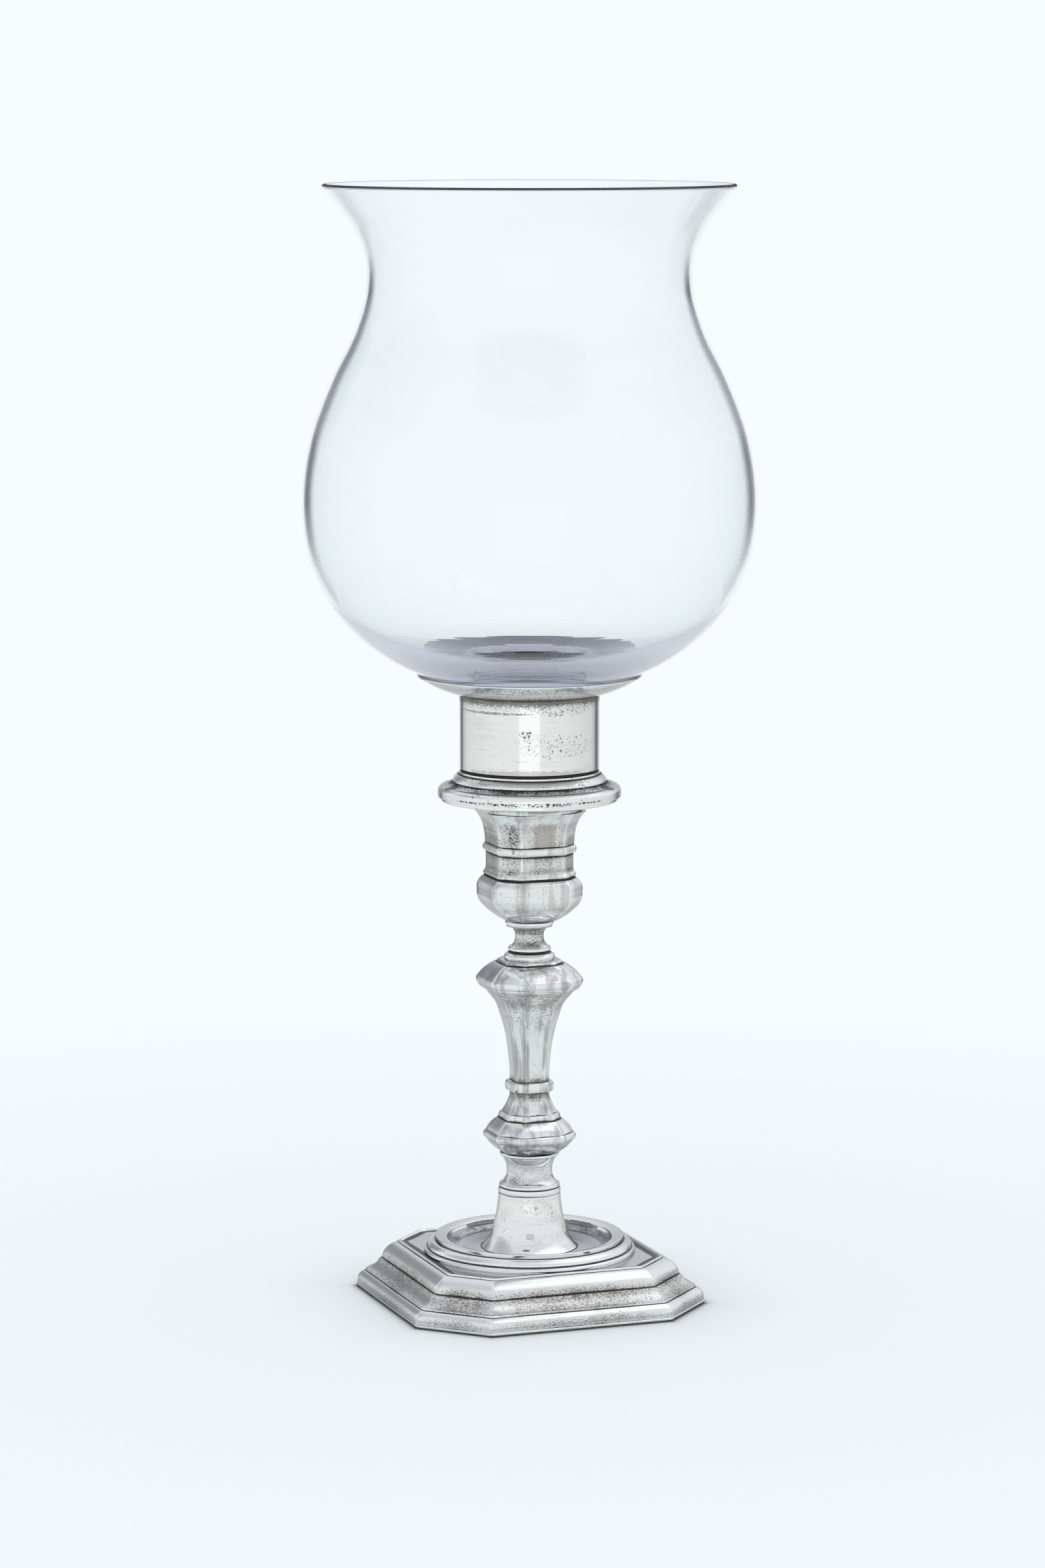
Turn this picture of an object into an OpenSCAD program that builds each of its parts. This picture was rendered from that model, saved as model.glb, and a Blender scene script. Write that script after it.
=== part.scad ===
// Candle lamp with shade: an eight-sided silver candlestick, a lift-off silver
// carrier that plugs into its socket, and a loose blown-glass shade.
// Millimetres, +Z up. The origin is the centre of the foot, on the table.

/* [Foot] */
// Width of the foot across its flats
foot_w = 104.4; // [96:0.2:112]
// How far each corner of the foot is cut back along the flat
foot_cut = 20; // [16:0.5:24]
// Height of the foot's moulding, up to its top fillet
foot_h = 16.3; // [15.5:0.1:17.5]
// Radius of the round opening that takes the well
well_r = 29.95; // [28:0.05:30]
// Height of the well's rim above the table
well_rim_z = 21.2; // [20.5:0.1:22.5]
// Height of the well's floor above the table
well_floor_z = 17; // [16:0.1:18]

/* [Stem] */
// Radius of the trumpet where it stands on the well's floor
trumpet_r = 16.6; // [16:0.1:18]
// Height of the trumpet
trumpet_h = 19; // [18:0.1:21]
// Height of the two rings on the trumpet
collar_h = 3.6; // [3:0.1:4.5]
// Height of the round spool below the lower knop
spool_h = 10.9; // [10:0.1:12.5]
// Half width of the lower knop across its flats
lower_knop_w = 13.8; // [13.3:0.1:15]
// Height of the lower knop
lower_knop_h = 21.1; // [20:0.1:23]
// Height of the flat band under the baluster
band_h = 3.4; // [3:0.1:4.5]
// Half width of the baluster's top across its flats
baluster_w = 14.8; // [14:0.1:16]
// Height of the baluster
baluster_h = 32.3; // [31:0.1:34]
// Half width of the shoulder knop across its flats
shoulder_w = 16.2; // [15.8:0.1:17.2]
// Height of the shoulder knop
shoulder_h = 9.9; // [9.5:0.1:11.5]

/* [Neck and socket] */
// Height of the two rings on the shoulder knop
rings_h = 4.4; // [4:0.1:5.5]
// Height of the round spool under the socket
neck_h = 7.1; // [6.5:0.1:8.5]
// Height of the disc that carries the socket
disc_h = 2.2; // [1.8:0.1:3]
// Half width of the socket's mouth across its flats
socket_w = 17.4; // [16.5:0.1:18.5]
// Height of the socket
socket_h = 37.9; // [36:0.1:40]
// Radius of the candle hole in the socket
socket_bore_r = 11; // [10.5:0.1:11.2]
// Depth of the candle hole in the socket
socket_bore_depth = 30; // [26:0.5:31]

/* [Carrier] */
// Radius of the drip pan and of the flange on it
pan_r = 31.2; // [30:0.1:33]
// Height of the drip pan
pan_h = 4.6; // [4.4:0.1:5.2]
// Height of the flange between the pan and the cup
flange_h = 8.7; // [8.4:0.1:9.6]
// How far the nozzle reaches down into the socket
nozzle_reach = 22; // [16:0.5:25]
// Outer radius of the candle cup
cup_r = 23.75; // [23.5:0.05:24.2]
// Inner radius of the candle cup
cup_bore_r = 21.2; // [20:0.1:21.4]
// Height of the candle cup
cup_h = 27.3; // [25:0.1:30]
// Radius of the saucer that the shade stands in
saucer_r = 37.9; // [37:0.1:38.5]

/* [Glass shade] */
// Radius of the shade at its widest
shade_r = 76.9; // [76:0.1:80]
// Height of the shade
shade_h = 171.1; // [169:0.1:180]
// Radius of the hole in the shade's base
shade_hole_r = 21.6; // [21.5:0.1:21.8]
// Thickness of the glass above its heavy base
shade_wall = 1.8; // [1.6:0.1:2.4]
// How much thicker the glass is at its base
shade_base_extra = 4.2; // [3:0.1:5]

/* [Hidden] */

$fn = 96;
arc_steps = 6;    // straight steps in one bow of a moulding
flow_steps = 4;   // straight steps between two points of a flowing curve
silver = [0.80, 0.80, 0.77];
tarnished = [0.62, 0.60, 0.56];
clear_glass = [0.84, 0.91, 0.94, 0.35];

// The stem's castings register on each other: a short spigot under each one
// stands in the hole of the one below, and a narrow duct runs through them all.
solder_gap = 0.05;
duct_r = 2.6;
spigot_r = 4;
spigot_h = 1.6;
over = 1;         // how far a cutting tool runs past the face that it cuts

// Where each piece of the stack stands
trumpet_z = well_floor_z;
collar_z = trumpet_z + trumpet_h;
spool_z = collar_z + collar_h;
lower_knop_z = spool_z + spool_h;
band_z = lower_knop_z + lower_knop_h;
baluster_z = band_z + band_h;
shoulder_z = baluster_z + baluster_h;
rings_z = shoulder_z + shoulder_h;
neck_z = rings_z + rings_h;
disc_z = neck_z + neck_h;
socket_z = disc_z + disc_h;
socket_top_z = socket_z + socket_h;
pan_z = socket_top_z + solder_gap;
flange_z = pan_z + pan_h;
cup_z = flange_z + flange_h;
cup_top_z = cup_z + cup_h;
rest_gap = 0.2;   // film of air between the loose shade and the cup that it stands on
shade_z = cup_top_z + rest_gap;

// A moulding is drawn as rows of [across, up, bow]. bow is the height of the arc
// that runs to the next row, as a share of its chord: above 0 it swells to the
// right of the way it runs, which is outward on a profile drawn upward.
function bow_points(p, q, bow) =
  bow == 0 ? [p] :
  let (
    chord = norm(q - p),
    along = (q - p) / chord,
    out = [along.y, -along.x],
    half = 2 * atan(2 * bow),
    radius = chord / (2 * sin(half))
  )
  [for (i = [0 : arc_steps - 1])
    let (a = -half + 2 * half * i / arc_steps)
    (p + q) / 2 + out * radius * (cos(a) - cos(half)) + along * radius * sin(a)];

function at(row) = [row.x, row.y];

function moulded(rows) = [
  for (i = [0 : len(rows) - 2]) each bow_points(at(rows[i]), at(rows[i + 1]), rows[i].z),
  at(rows[len(rows) - 1])
];

function widest(rows) = max([for (r = rows) r.x]);
function tallest(rows) = max([for (r = rows) r.y]);

// The same rows stretched to a greatest half width w and a height h
function drawn(rows, w, h) =
  [for (r = rows) [r.x * w / widest(rows), r.y * h / tallest(rows), r.z]];

// The same rows stretched to a height h only
function raised(rows, h) = drawn(rows, widest(rows), h);

// A flowing curve through its points, each taking its slope from its two neighbours
function slope_at(p, i) =
  let (
    a = p[max(i - 1, 0)], b = p[i], c = p[min(i + 1, len(p) - 1)],
    ab = norm(b - a), bc = norm(c - b)
  )
  i == 0 ? (c - b) / bc :
  i == len(p) - 1 ? (b - a) / ab :
  ((c - b) / bc * ab + (b - a) / ab * bc) / (ab + bc);

function flow_point(p, i, t) =
  let (d = norm(p[i + 1] - p[i]), t2 = t * t, t3 = t * t * t)
  (2 * t3 - 3 * t2 + 1) * p[i] + (t3 - 2 * t2 + t) * d * slope_at(p, i)
  + (3 * t2 - 2 * t3) * p[i + 1] + (t3 - t2) * d * slope_at(p, i + 1);

function flowing(p) = [
  for (i = [0 : len(p) - 2], k = [0 : flow_steps - 1]) flow_point(p, i, k / flow_steps),
  p[len(p) - 1]
];

// The outward normal of a curve drawn upward, at its point i
function normal_at(p, i) =
  let (d = p[min(i + 1, len(p) - 1)] - p[max(i - 1, 0)])
  [d.y, -d.x] / norm(d);

module turned(points) {
  rotate_extrude() polygon(points);
}

// Closes an open profile onto the axis, for a piece turned from the solid
function to_axis(points) = concat([[0, points[0].y]], points, [[0, points[len(points) - 1].y]]);

// One profile seen on both sides of the axis, widened and moved outward
module both_sides(points, wider, outward) {
  right = [for (p = points) [p.x * wider + outward, p.y]];
  left = [for (i = [len(right) - 1 : -1 : 0]) [-right[i].x, right[i].y]];
  polygon(concat(right, left));
}

// A square moulding with cut corners, mitred at its eight arrises: the profile
// runs along the four flats, and across the corners it is wider or further out.
module eight_sided(points, wider, outward) {
  reach = 2 * widest(points) + outward;
  intersection_for (turn = [0, 45, 90, 135])
    rotate([90, 0, turn])
      linear_extrude(height = 2 * reach, center = true)
        both_sides(points, turn % 90 == 0 ? 1 : wider, turn % 90 == 0 ? 0 : outward);
}

// Across the corners a stem section of cut share c stands this much wider
function corner_wider(c) = (2 - c) / sqrt(2);

module spigot_below() {
  translate([0, 0, -spigot_h]) cylinder(r = spigot_r, h = spigot_h + over);
}

// The narrow duct up the stem, with the wider hole for the next casting's spigot
module duct_and_hole(h) {
  translate([0, 0, -spigot_h - over]) cylinder(r = duct_r, h = h + spigot_h + 2 * over);
  translate([0, 0, h - spigot_h - solder_gap])
    cylinder(r = spigot_r + solder_gap, h = spigot_h + over);
}

// A stem casting: its outer form as a child, its hollow as a second child
module casting(z, h) {
  translate([0, 0, z])
    difference() {
      union() {
        children(0);
        spigot_below();
      }
      duct_and_hole(h);
      if ($children > 1) children(1);
    }
}

// Foot

foot_corner_out = (foot_w - foot_cut) / sqrt(2) - foot_w / 2;
foot_inset_rows = [
  [0.25, 0, 0], [0, 0.4, 0], [0, 0.9, 0], [0.2, 1.1, 0], [0.2, 2.6, 0.16], [2.8, 5.6, 0],
  [2.9, 6.3, 0], [3.4, 6.4, -0.11], [7.3, 9.8, 0], [8, 10.1, 0], [8.1, 10.5, 0.165],
  [13.4, 15.7, 0], [13.5, 16.3, 0], [14.2, 16.3, 0]
];
foot_hollow_rows = [[1.7, 0], [1.7, 2.6], [5.9, 5.6], [9.3, 9.1], [10.3, 11.8], [12.6, 14]];
foot_lift = foot_h / tallest(foot_inset_rows);
foot_floor_z = foot_h - 0.6;  // the plain top lies this little under the top fillet
foot_floor_in = 14.6;         // how far the plain top's edge lies inside the foot's edge
foot_floor_draft = 0.6;       // how far the step up to the fillet leans outward

module foot_plinth() {
  half = foot_w / 2;
  outer = moulded([for (r = foot_inset_rows) [half - r.x, r.y * foot_lift, r.z]]);
  hollow = concat([[half - foot_hollow_rows[0].x, -over]],
                  [for (r = foot_hollow_rows) [half - r.x, r.y * foot_lift]]);
  recess = [[half - foot_floor_in, foot_floor_z],
            [half - foot_floor_in + foot_floor_draft, foot_h + over]];
  color(silver)
    difference() {
      eight_sided(outer, 1, foot_corner_out);
      eight_sided(hollow, 1, foot_corner_out);
      eight_sided(recess, 1, foot_corner_out);
      cylinder(r = well_r, h = foot_h + over);
    }
}

// Well: a turned dish dropped through the foot, with a moulded ring round it

dish_t = 1.6;
dish_skirt_z = 13;      // the drum's skirt reaches down to here, in the foot's opening
dish_rim_t = 1.45;      // thickness of the rim that laps over the ring
dish_drum_r = well_r - solder_gap;
trumpet_foot_in = 2.9;  // how far inside the trumpet's foot the dish's hole lies
dish_hole_r = trumpet_r - trumpet_foot_in;
// The rolled rim and the inside wall, from the drum and from the rim's top
dish_rim_rows = [[2.3, -dish_rim_t, 0], [2.4, -0.3, 0.3], [2.1, 0, 0], [1.8, -0.1, 0.03],
                 [-1.2, -0.6, 0.25], [-1.6, -1.2, 0]];
// The hollow between the inside wall and the floor, from the drum and from the floor
dish_hollow_rows = [[-1.8, 2.6, -0.2], [-5.5, 0.4, -0.03]];

module well_dish() {
  low = well_floor_z - dish_t;
  outline = moulded(concat(
    [[dish_hole_r, low, 0], [dish_drum_r - dish_t, low, 0],
     [dish_drum_r - dish_t, dish_skirt_z, 0], [dish_drum_r, dish_skirt_z, 0],
     [dish_drum_r, well_rim_z - dish_rim_t, 0]],
    [for (r = dish_rim_rows) [dish_drum_r + r.x, well_rim_z + r.y, r.z]],
    [for (r = dish_hollow_rows) [dish_drum_r + r.x, well_floor_z + r.y, r.z]],
    [[trumpet_r + 1, well_floor_z, 0], [dish_hole_r, well_floor_z, 0]]
  ));
  color(silver) turned(outline);
}

module well_ring() {
  base = foot_floor_z;
  top = well_rim_z - dish_rim_t - solder_gap;
  rows = [
    [well_r, base, 0], [well_r + 6.1, base, 0.32], [well_r + 5.7, base + 1.5, 0],
    [well_r + 5.2, base + 1.6, 0.19], [well_r + 2.7, top, 0], [well_r, top, 0]
  ];
  color(silver) turned(moulded(rows));
}

// Stem

trumpet_rows = [[16.6, 0, -0.08], [12.7, 6.8, -0.03], [10.65, 19, 0]];
trumpet_foot_wall = 1.5;
trumpet_top_wall = 2.4;
trumpet_hollow = [[10.8, 9], [9.2, trumpet_h - trumpet_top_wall]];

module stem_trumpet() {
  foot_r = dish_hole_r - solder_gap;
  inner_r = foot_r - trumpet_foot_wall;
  color(silver)
    translate([0, 0, trumpet_z])
      difference() {
        union() {
          turned(to_axis(moulded(drawn(trumpet_rows, trumpet_r, trumpet_h))));
          translate([0, 0, -dish_t]) cylinder(r = foot_r, h = dish_t + over);
        }
        turned(to_axis(concat([[inner_r, -dish_t - over], [inner_r, 2]], trumpet_hollow)));
        duct_and_hole(trumpet_h);
      }
}

collar_rows = [[10.5, 0, 0.12], [10.5, 2, 0], [10.1, 2.15, 0.3], [9.9, 3.6, 0]];

module trumpet_collar() {
  color(silver)
    casting(collar_z, collar_h)
      turned(to_axis(moulded(raised(collar_rows, collar_h))));
}

spool_rows = [[9.9, 0, -0.12], [7.8, 3.6, -0.1], [9.6, 9.4, 0], [9.7, 9.5, 0.35], [9.7, 10.9, 0]];

module lower_spool() {
  color(silver)
    casting(spool_z, spool_h)
      turned(to_axis(moulded(raised(spool_rows, spool_h))));
}

lower_knop_cut = 0.48;
lower_knop_rows = [
  [9.7, 0, 0.06], [13.8, 4.3, 0.3], [13.8, 7.1, 0.08], [10.4, 11.4, 0], [10, 11.5, 0],
  [9.4, 13.6, 0], [9, 13.7, -0.05], [6.3, 19.3, -0.02], [6.2, 21.1, 0]
];
lower_knop_hollow = [[0, 2], [9, 2], [11.8, 4.6], [11.8, 6.8], [7.6, 11.4], [4.4, 18], [0, 18]];

module lower_knop() {
  color(silver)
    casting(lower_knop_z, lower_knop_h) {
      eight_sided(moulded(drawn(lower_knop_rows, lower_knop_w, lower_knop_h)),
                  corner_wider(lower_knop_cut), 0);
      turned(lower_knop_hollow);
    }
}

stem_cut = 0.45;
band_rows = [[7.1, 0, 0], [7.4, 0.3, 0.05], [7.4, 3.1, 0], [7.1, 3.4, 0]];

module baluster_band() {
  color(silver)
    casting(band_z, band_h)
      eight_sided(moulded(raised(band_rows, band_h)), corner_wider(stem_cut), 0);
}

baluster_rows = [
  [6.1, 0, -0.02], [6.5, 9, -0.03], [9.4, 24, -0.07], [12.5, 29.9, -0.06], [14.8, 32.3, 0]
];
baluster_hollow = [[0, 4], [4.2, 4], [4.6, 9], [7.4, 23.6], [9.6, 29], [0, 29]];

module baluster() {
  color(silver)
    casting(baluster_z, baluster_h) {
      eight_sided(moulded(drawn(baluster_rows, baluster_w, baluster_h)),
                  corner_wider(stem_cut), 0);
      turned(baluster_hollow);
    }
}

shoulder_rows = [
  [15.2, 0, 0.08], [16.2, 1.5, 0.2], [16.1, 4.3, 0.06], [11.4, 8.7, 0], [10.5, 8.8, 0],
  [9.9, 9.7, 0], [9.6, 9.9, 0]
];
shoulder_hollow = [[0, 1.6], [12.4, 1.6], [14, 2.6], [13.6, 4.3], [9.4, 7.5], [0, 7.5]];
// The vent that let the hot air out when the hollow knop was soldered
vent_r = 0.75;
vent_from_axis = 11.9;
vent_turn = -45;
vent_low = 4;     // the vent is drilled down to this height, inside the hollow

module shoulder_knop() {
  color(silver)
    difference() {
      casting(shoulder_z, shoulder_h) {
        eight_sided(moulded(drawn(shoulder_rows, shoulder_w, shoulder_h)),
                    corner_wider(stem_cut), 0);
        turned(shoulder_hollow);
      }
      rotate([0, 0, vent_turn])
        translate([vent_from_axis, 0, shoulder_z + vent_low])
          cylinder(r = vent_r, h = shoulder_h);
    }
}

// Neck and socket

rings_rows = [
  [8.2, 0, 0.3], [8.2, 2, 0], [7.4, 2.4, -0.1], [6.8, 2.9, 0], [6.8, 3, 0.4], [6.7, 4.4, 0]
];

module neck_rings() {
  color(silver)
    casting(rings_z, rings_h)
      turned(to_axis(moulded(raised(rings_rows, rings_h))));
}

neck_rows = [[7.1, 0, -0.16], [4.9, 2.8, -0.03], [4.9, 4.6, -0.17], [7.9, 7.1, 0]];

module neck_spool() {
  color(silver)
    casting(neck_z, neck_h)
      turned(to_axis(moulded(raised(neck_rows, neck_h))));
}

disc_rows = [[7.5, 0, 0.1], [8, 0.6, 0.2], [8, 2.2, 0]];

module neck_disc() {
  color(silver)
    casting(disc_z, disc_h)
      turned(to_axis(moulded(raised(disc_rows, disc_h))));
}

socket_cut = 0.42;
socket_rows = [
  [8.6, 0, 0.05], [13.9, 4.3, 0.12], [16.1, 10, 0.13], [14.5, 14.7, 0], [13.9, 15, 0],
  [13.9, 15.4, 0], [14.15, 15.7, 0], [14.15, 16.3, -0.1], [13.3, 18.7, 0], [13.35, 23.2, 0],
  [13.45, 23.3, 0.28], [13.5, 26.3, 0], [13.6, 26.5, -0.03], [14, 30.9, -0.085], [17.4, 37.9, 0]
];

module candle_socket() {
  color(silver)
    translate([0, 0, socket_z])
      difference() {
        union() {
          eight_sided(moulded(drawn(socket_rows, socket_w, socket_h)),
                      corner_wider(socket_cut), 0);
          spigot_below();
        }
        translate([0, 0, -spigot_h - over]) cylinder(r = duct_r, h = socket_h);
        translate([0, 0, socket_h - socket_bore_depth])
          cylinder(r = socket_bore_r, h = socket_bore_depth + over);
      }
}

// Carrier: it lifts out of the socket with the cup, the saucer and the shade

nozzle_gap = 0.1;
nozzle_r = socket_bore_r - nozzle_gap;
nozzle_wall = 1.2;
nozzle_hole_r = nozzle_r + solder_gap;
pan_wall = 1.2;
pan_edge_in = 1;      // how far the pan's edge lies inside the flange's rim
pan_edge_t = 1.1;
pan_foot_r = 17.9;    // the foot of the pan's cone, on the socket's mouth
pan_cone_r = 23.5;    // the cone's top, where the plain brim begins
pan_cone_h = 3;

module nozzle_tube() {
  low = socket_top_z - nozzle_reach;
  color(tarnished)
    translate([0, 0, low])
      difference() {
        cylinder(r = nozzle_r, h = cup_z - low);
        translate([0, 0, -over]) cylinder(r = nozzle_r - nozzle_wall, h = cup_z - low + 2 * over);
      }
}

module nozzle_pan() {
  edge_r = pan_r - pan_edge_in;
  rows = [
    [nozzle_hole_r, 0, 0], [pan_foot_r, 0, 0], [pan_foot_r + 0.3, 0.4, -0.08],
    [pan_cone_r, pan_cone_h, 0], [edge_r - 0.8, pan_cone_h + 0.2, 0.25],
    [edge_r, pan_h - 0.7, 0], [edge_r, pan_h, 0], [edge_r - pan_edge_t, pan_h, 0],
    [edge_r - pan_edge_t, pan_cone_h + pan_wall + 0.2, 0],
    [pan_cone_r - 0.3, pan_cone_h + pan_wall, 0.1], [pan_foot_r - 0.7, pan_wall + 0.1, 0],
    [pan_foot_r - 1, pan_wall, 0], [nozzle_hole_r, pan_wall, 0]
  ];
  color(tarnished) translate([0, 0, pan_z]) turned(moulded(rows));
}

flange_rim_h = 1.9;   // height of the upright part of the flange's rim
flange_rim_t = 2.2;   // and how far it reaches inward over the pan's edge
flange_cove_z = 3.75; // where the rim's rounding ends and a cove begins
flange_bead_z = 5.2;  // where the cove ends in the bead at the cup's foot
flange_wall = 1.4;

module carrier_flange() {
  inner_r = pan_r - flange_rim_t;
  under = flange_h - flange_wall;
  rows = [
    [inner_r, solder_gap, 0], [pan_r, solder_gap, 0], [pan_r, flange_rim_h, 0.22],
    [pan_r - 2.1, flange_cove_z, -0.1], [cup_r + 2.5, flange_bead_z, 0.12],
    [cup_r + 0.5, flange_h - 1, -0.15], [cup_r + 0.1, flange_h, 0],
    [nozzle_hole_r, flange_h, 0], [nozzle_hole_r, under, 0], [cup_r - 1.2, under, 0],
    [cup_r + 1, flange_bead_z - 1.2, 0], [inner_r - 1.1, flange_cove_z - 1.15, 0],
    [inner_r, flange_rim_h - 0.5, 0]
  ];
  color(silver) translate([0, 0, flange_z]) turned(moulded(rows));
}

cup_floor_h = 0.8;
cup_foot_round = 0.35;
cup_low = cup_floor_h + 2 * solder_gap;

module cup_floor() {
  color(tarnished)
    translate([0, 0, cup_z + solder_gap])
      cylinder(r = cup_r - cup_foot_round, h = cup_floor_h);
}

module candle_cup() {
  rows = [
    [cup_bore_r, cup_low, 0], [cup_r - cup_foot_round, cup_low, 0.2],
    [cup_r, cup_low + cup_foot_round, 0], [cup_r, cup_h, 0], [cup_bore_r, cup_h, 0]
  ];
  color(silver) translate([0, 0, cup_z]) turned(moulded(rows));
}

saucer_rise = 6.1;
saucer_t = 1.1;
saucer_rest = 1.5;    // width of the flat ring beside the cup's rim

module shade_saucer() {
  hole_r = cup_r + solder_gap;
  low = cup_top_z - saucer_t;
  rows = [
    [hole_r, low, 0.05], [saucer_r, low + saucer_rise, 0.3],
    [saucer_r - 0.3, low + saucer_rise + 0.5, 0],
    [saucer_r - 0.8, low + saucer_rise + 0.45, -0.05],
    [hole_r + saucer_rest, cup_top_z, 0], [hole_r, cup_top_z, 0]
  ];
  color(silver) turned(moulded(rows));
}

// Glass shade: a bowl with a thick base, drawn in to a waist and flared at its mouth

shade_curve = [
  [25.2, 0.05], [27, 0.6], [31, 2.4], [37.8, 5.8], [47.2, 10.6], [58, 18.7], [67.3, 29.5],
  [74, 43.2], [76.9, 61.4], [74.6, 83.5], [67, 105], [58.7, 122.4], [55, 136.4],
  [55.2, 146.2], [58.4, 154.6], [63.9, 162.5], [69.3, 169.6]
];
shade_thick_base_h = 32;
rim_bow = 0.4;    // bow of the rounded rim, as a share of the glass's thickness
rim_rise = 1.3;   // how far that makes the rim stand above the end of the outer curve

// The wall thins from the base upward, over the height of the thick base
function glass_t(z) =
  shade_wall + shade_base_extra * pow(max(0, 1 - z / shade_thick_base_h), 2);

module glass_shade() {
  lift = shade_h / (tallest(shade_curve) + rim_rise);
  keys = [for (p = shade_curve) [p.x * shade_r / widest(shade_curve), p.y * lift]];
  outer = flowing(keys);
  last = len(outer) - 1;
  inner = [for (i = [last : -1 : 0]) outer[i] - normal_at(outer, i) * glass_t(outer[i].y)];
  rim_rows = [[outer[last].x, outer[last].y, rim_bow], [inner[0].x, inner[0].y, 0]];
  inner_above_hole = [for (p = inner) if (p.x > shade_hole_r + 1) p];
  hole_top = inner[last].y;
  color(clear_glass)
    translate([0, 0, shade_z])
      turned(concat(
        [[shade_hole_r, 0]], [for (i = [0 : last - 1]) outer[i]], moulded(rim_rows),
        [for (i = [1 : len(inner_above_hole) - 1]) inner_above_hole[i]],
        [[shade_hole_r, hole_top]]
      ));
}

foot_plinth();
well_dish();
well_ring();
stem_trumpet();
trumpet_collar();
lower_spool();
lower_knop();
baluster_band();
baluster();
shoulder_knop();
neck_rings();
neck_spool();
neck_disc();
candle_socket();
nozzle_tube();
nozzle_pan();
carrier_flange();
cup_floor();
candle_cup();
shade_saucer();
glass_shade();
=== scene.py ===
import math

import bpy
import numpy as np
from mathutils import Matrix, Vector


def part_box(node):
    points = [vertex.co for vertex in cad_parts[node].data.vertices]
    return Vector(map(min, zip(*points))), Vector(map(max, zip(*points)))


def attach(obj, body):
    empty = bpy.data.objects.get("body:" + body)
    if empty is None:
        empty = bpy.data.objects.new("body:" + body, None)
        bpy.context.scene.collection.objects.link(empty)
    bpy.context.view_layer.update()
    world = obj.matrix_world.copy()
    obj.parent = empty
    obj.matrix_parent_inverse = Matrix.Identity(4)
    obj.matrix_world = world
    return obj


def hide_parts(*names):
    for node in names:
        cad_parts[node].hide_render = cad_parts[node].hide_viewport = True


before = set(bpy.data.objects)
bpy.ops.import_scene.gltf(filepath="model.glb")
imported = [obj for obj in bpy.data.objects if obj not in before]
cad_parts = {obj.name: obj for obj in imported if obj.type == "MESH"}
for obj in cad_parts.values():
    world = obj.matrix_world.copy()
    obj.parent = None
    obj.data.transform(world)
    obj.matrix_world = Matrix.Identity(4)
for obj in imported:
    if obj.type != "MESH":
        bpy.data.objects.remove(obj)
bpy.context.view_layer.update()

# The looks of a candle lamp: an eight-sided silver candlestick, the silver carrier that
# plugs into its socket, and a blown-glass shade. Profiles are in millimetres, as rows of
# [across, up, bow]. The pieces' heights and widths are read from the frame, and what it
# can't give, such as a hole's radius, is named here. Meshes are in metres.
MM = 0.001

# The photograph's view: metres, degrees, and the focal length in its pixels
CAMERA_TURN = -19.98
CAMERA_DISTANCE = 1.66826
CAMERA_HEIGHT = 0.41403
CAMERA_PITCH = 8.076
CAMERA_SIDE = -0.00236
FOCAL_PX = 7444.17
PHOTO_HEIGHT_PX = 2352
SENSOR = 36


# Measures from the frame

def top_of(node):
    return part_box(node)[1].z / MM


def foot_of(node):
    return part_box(node)[0].z / MM


def half_of(node):
    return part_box(node)[1].x / MM


# Profiles

def distances(line):
    """How far along a line each of its points lies."""
    return np.concatenate([[0], np.cumsum(np.hypot(*np.diff(line, axis=0).T))])


def points_at(line, at, places):
    """The points that lie at some places along a line. at gives its own points' places."""
    return np.stack([np.interp(places, at, line[:, k]) for k in (0, 1)], -1)


def bowed(rows, steps=12):
    """Rows of [across, up, bow] as a line of points. From each row to the next runs a
    circular arc whose height is bow times its chord, to the right of the way it runs: with
    h = 2 atan(2 bow) and s from -1 to 1, a point is half a chord times sin(h s) / sin h
    along, and half a chord times (cos(h s) - cos h) / sin h out. Bow 0 is a straight line."""
    rows = np.asarray(rows, float)
    start, end, bow = rows[:-1, :2], rows[1:, :2], rows[:-1, 2]
    half = 2 * np.arctan(2 * np.where(bow == 0, 1e-6, bow))[:, None]
    s = np.linspace(-1, 1, steps, endpoint=False)[None, :]
    along = np.sin(half * s) / np.sin(half)
    out = (np.cos(half * s) - np.cos(half)) / np.sin(half)
    chord = (end - start)[:, None, :] / 2
    side = np.stack([chord[..., 1], -chord[..., 0]], -1)
    points = (start + end)[:, None, :] / 2 + chord * along[..., None] + side * out[..., None]
    kept = (bow != 0)[:, None] | (np.arange(steps) == 0)[None, :]
    return np.vstack([points[kept], rows[-1:, :2]])


# The greatest set-back from a corner, as a share of the way to the next one, and where the
# point outside each curve stands, as a multiple of the set-back
GREATEST_BACK = 0.3
SUPPORT = 1.7


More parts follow.
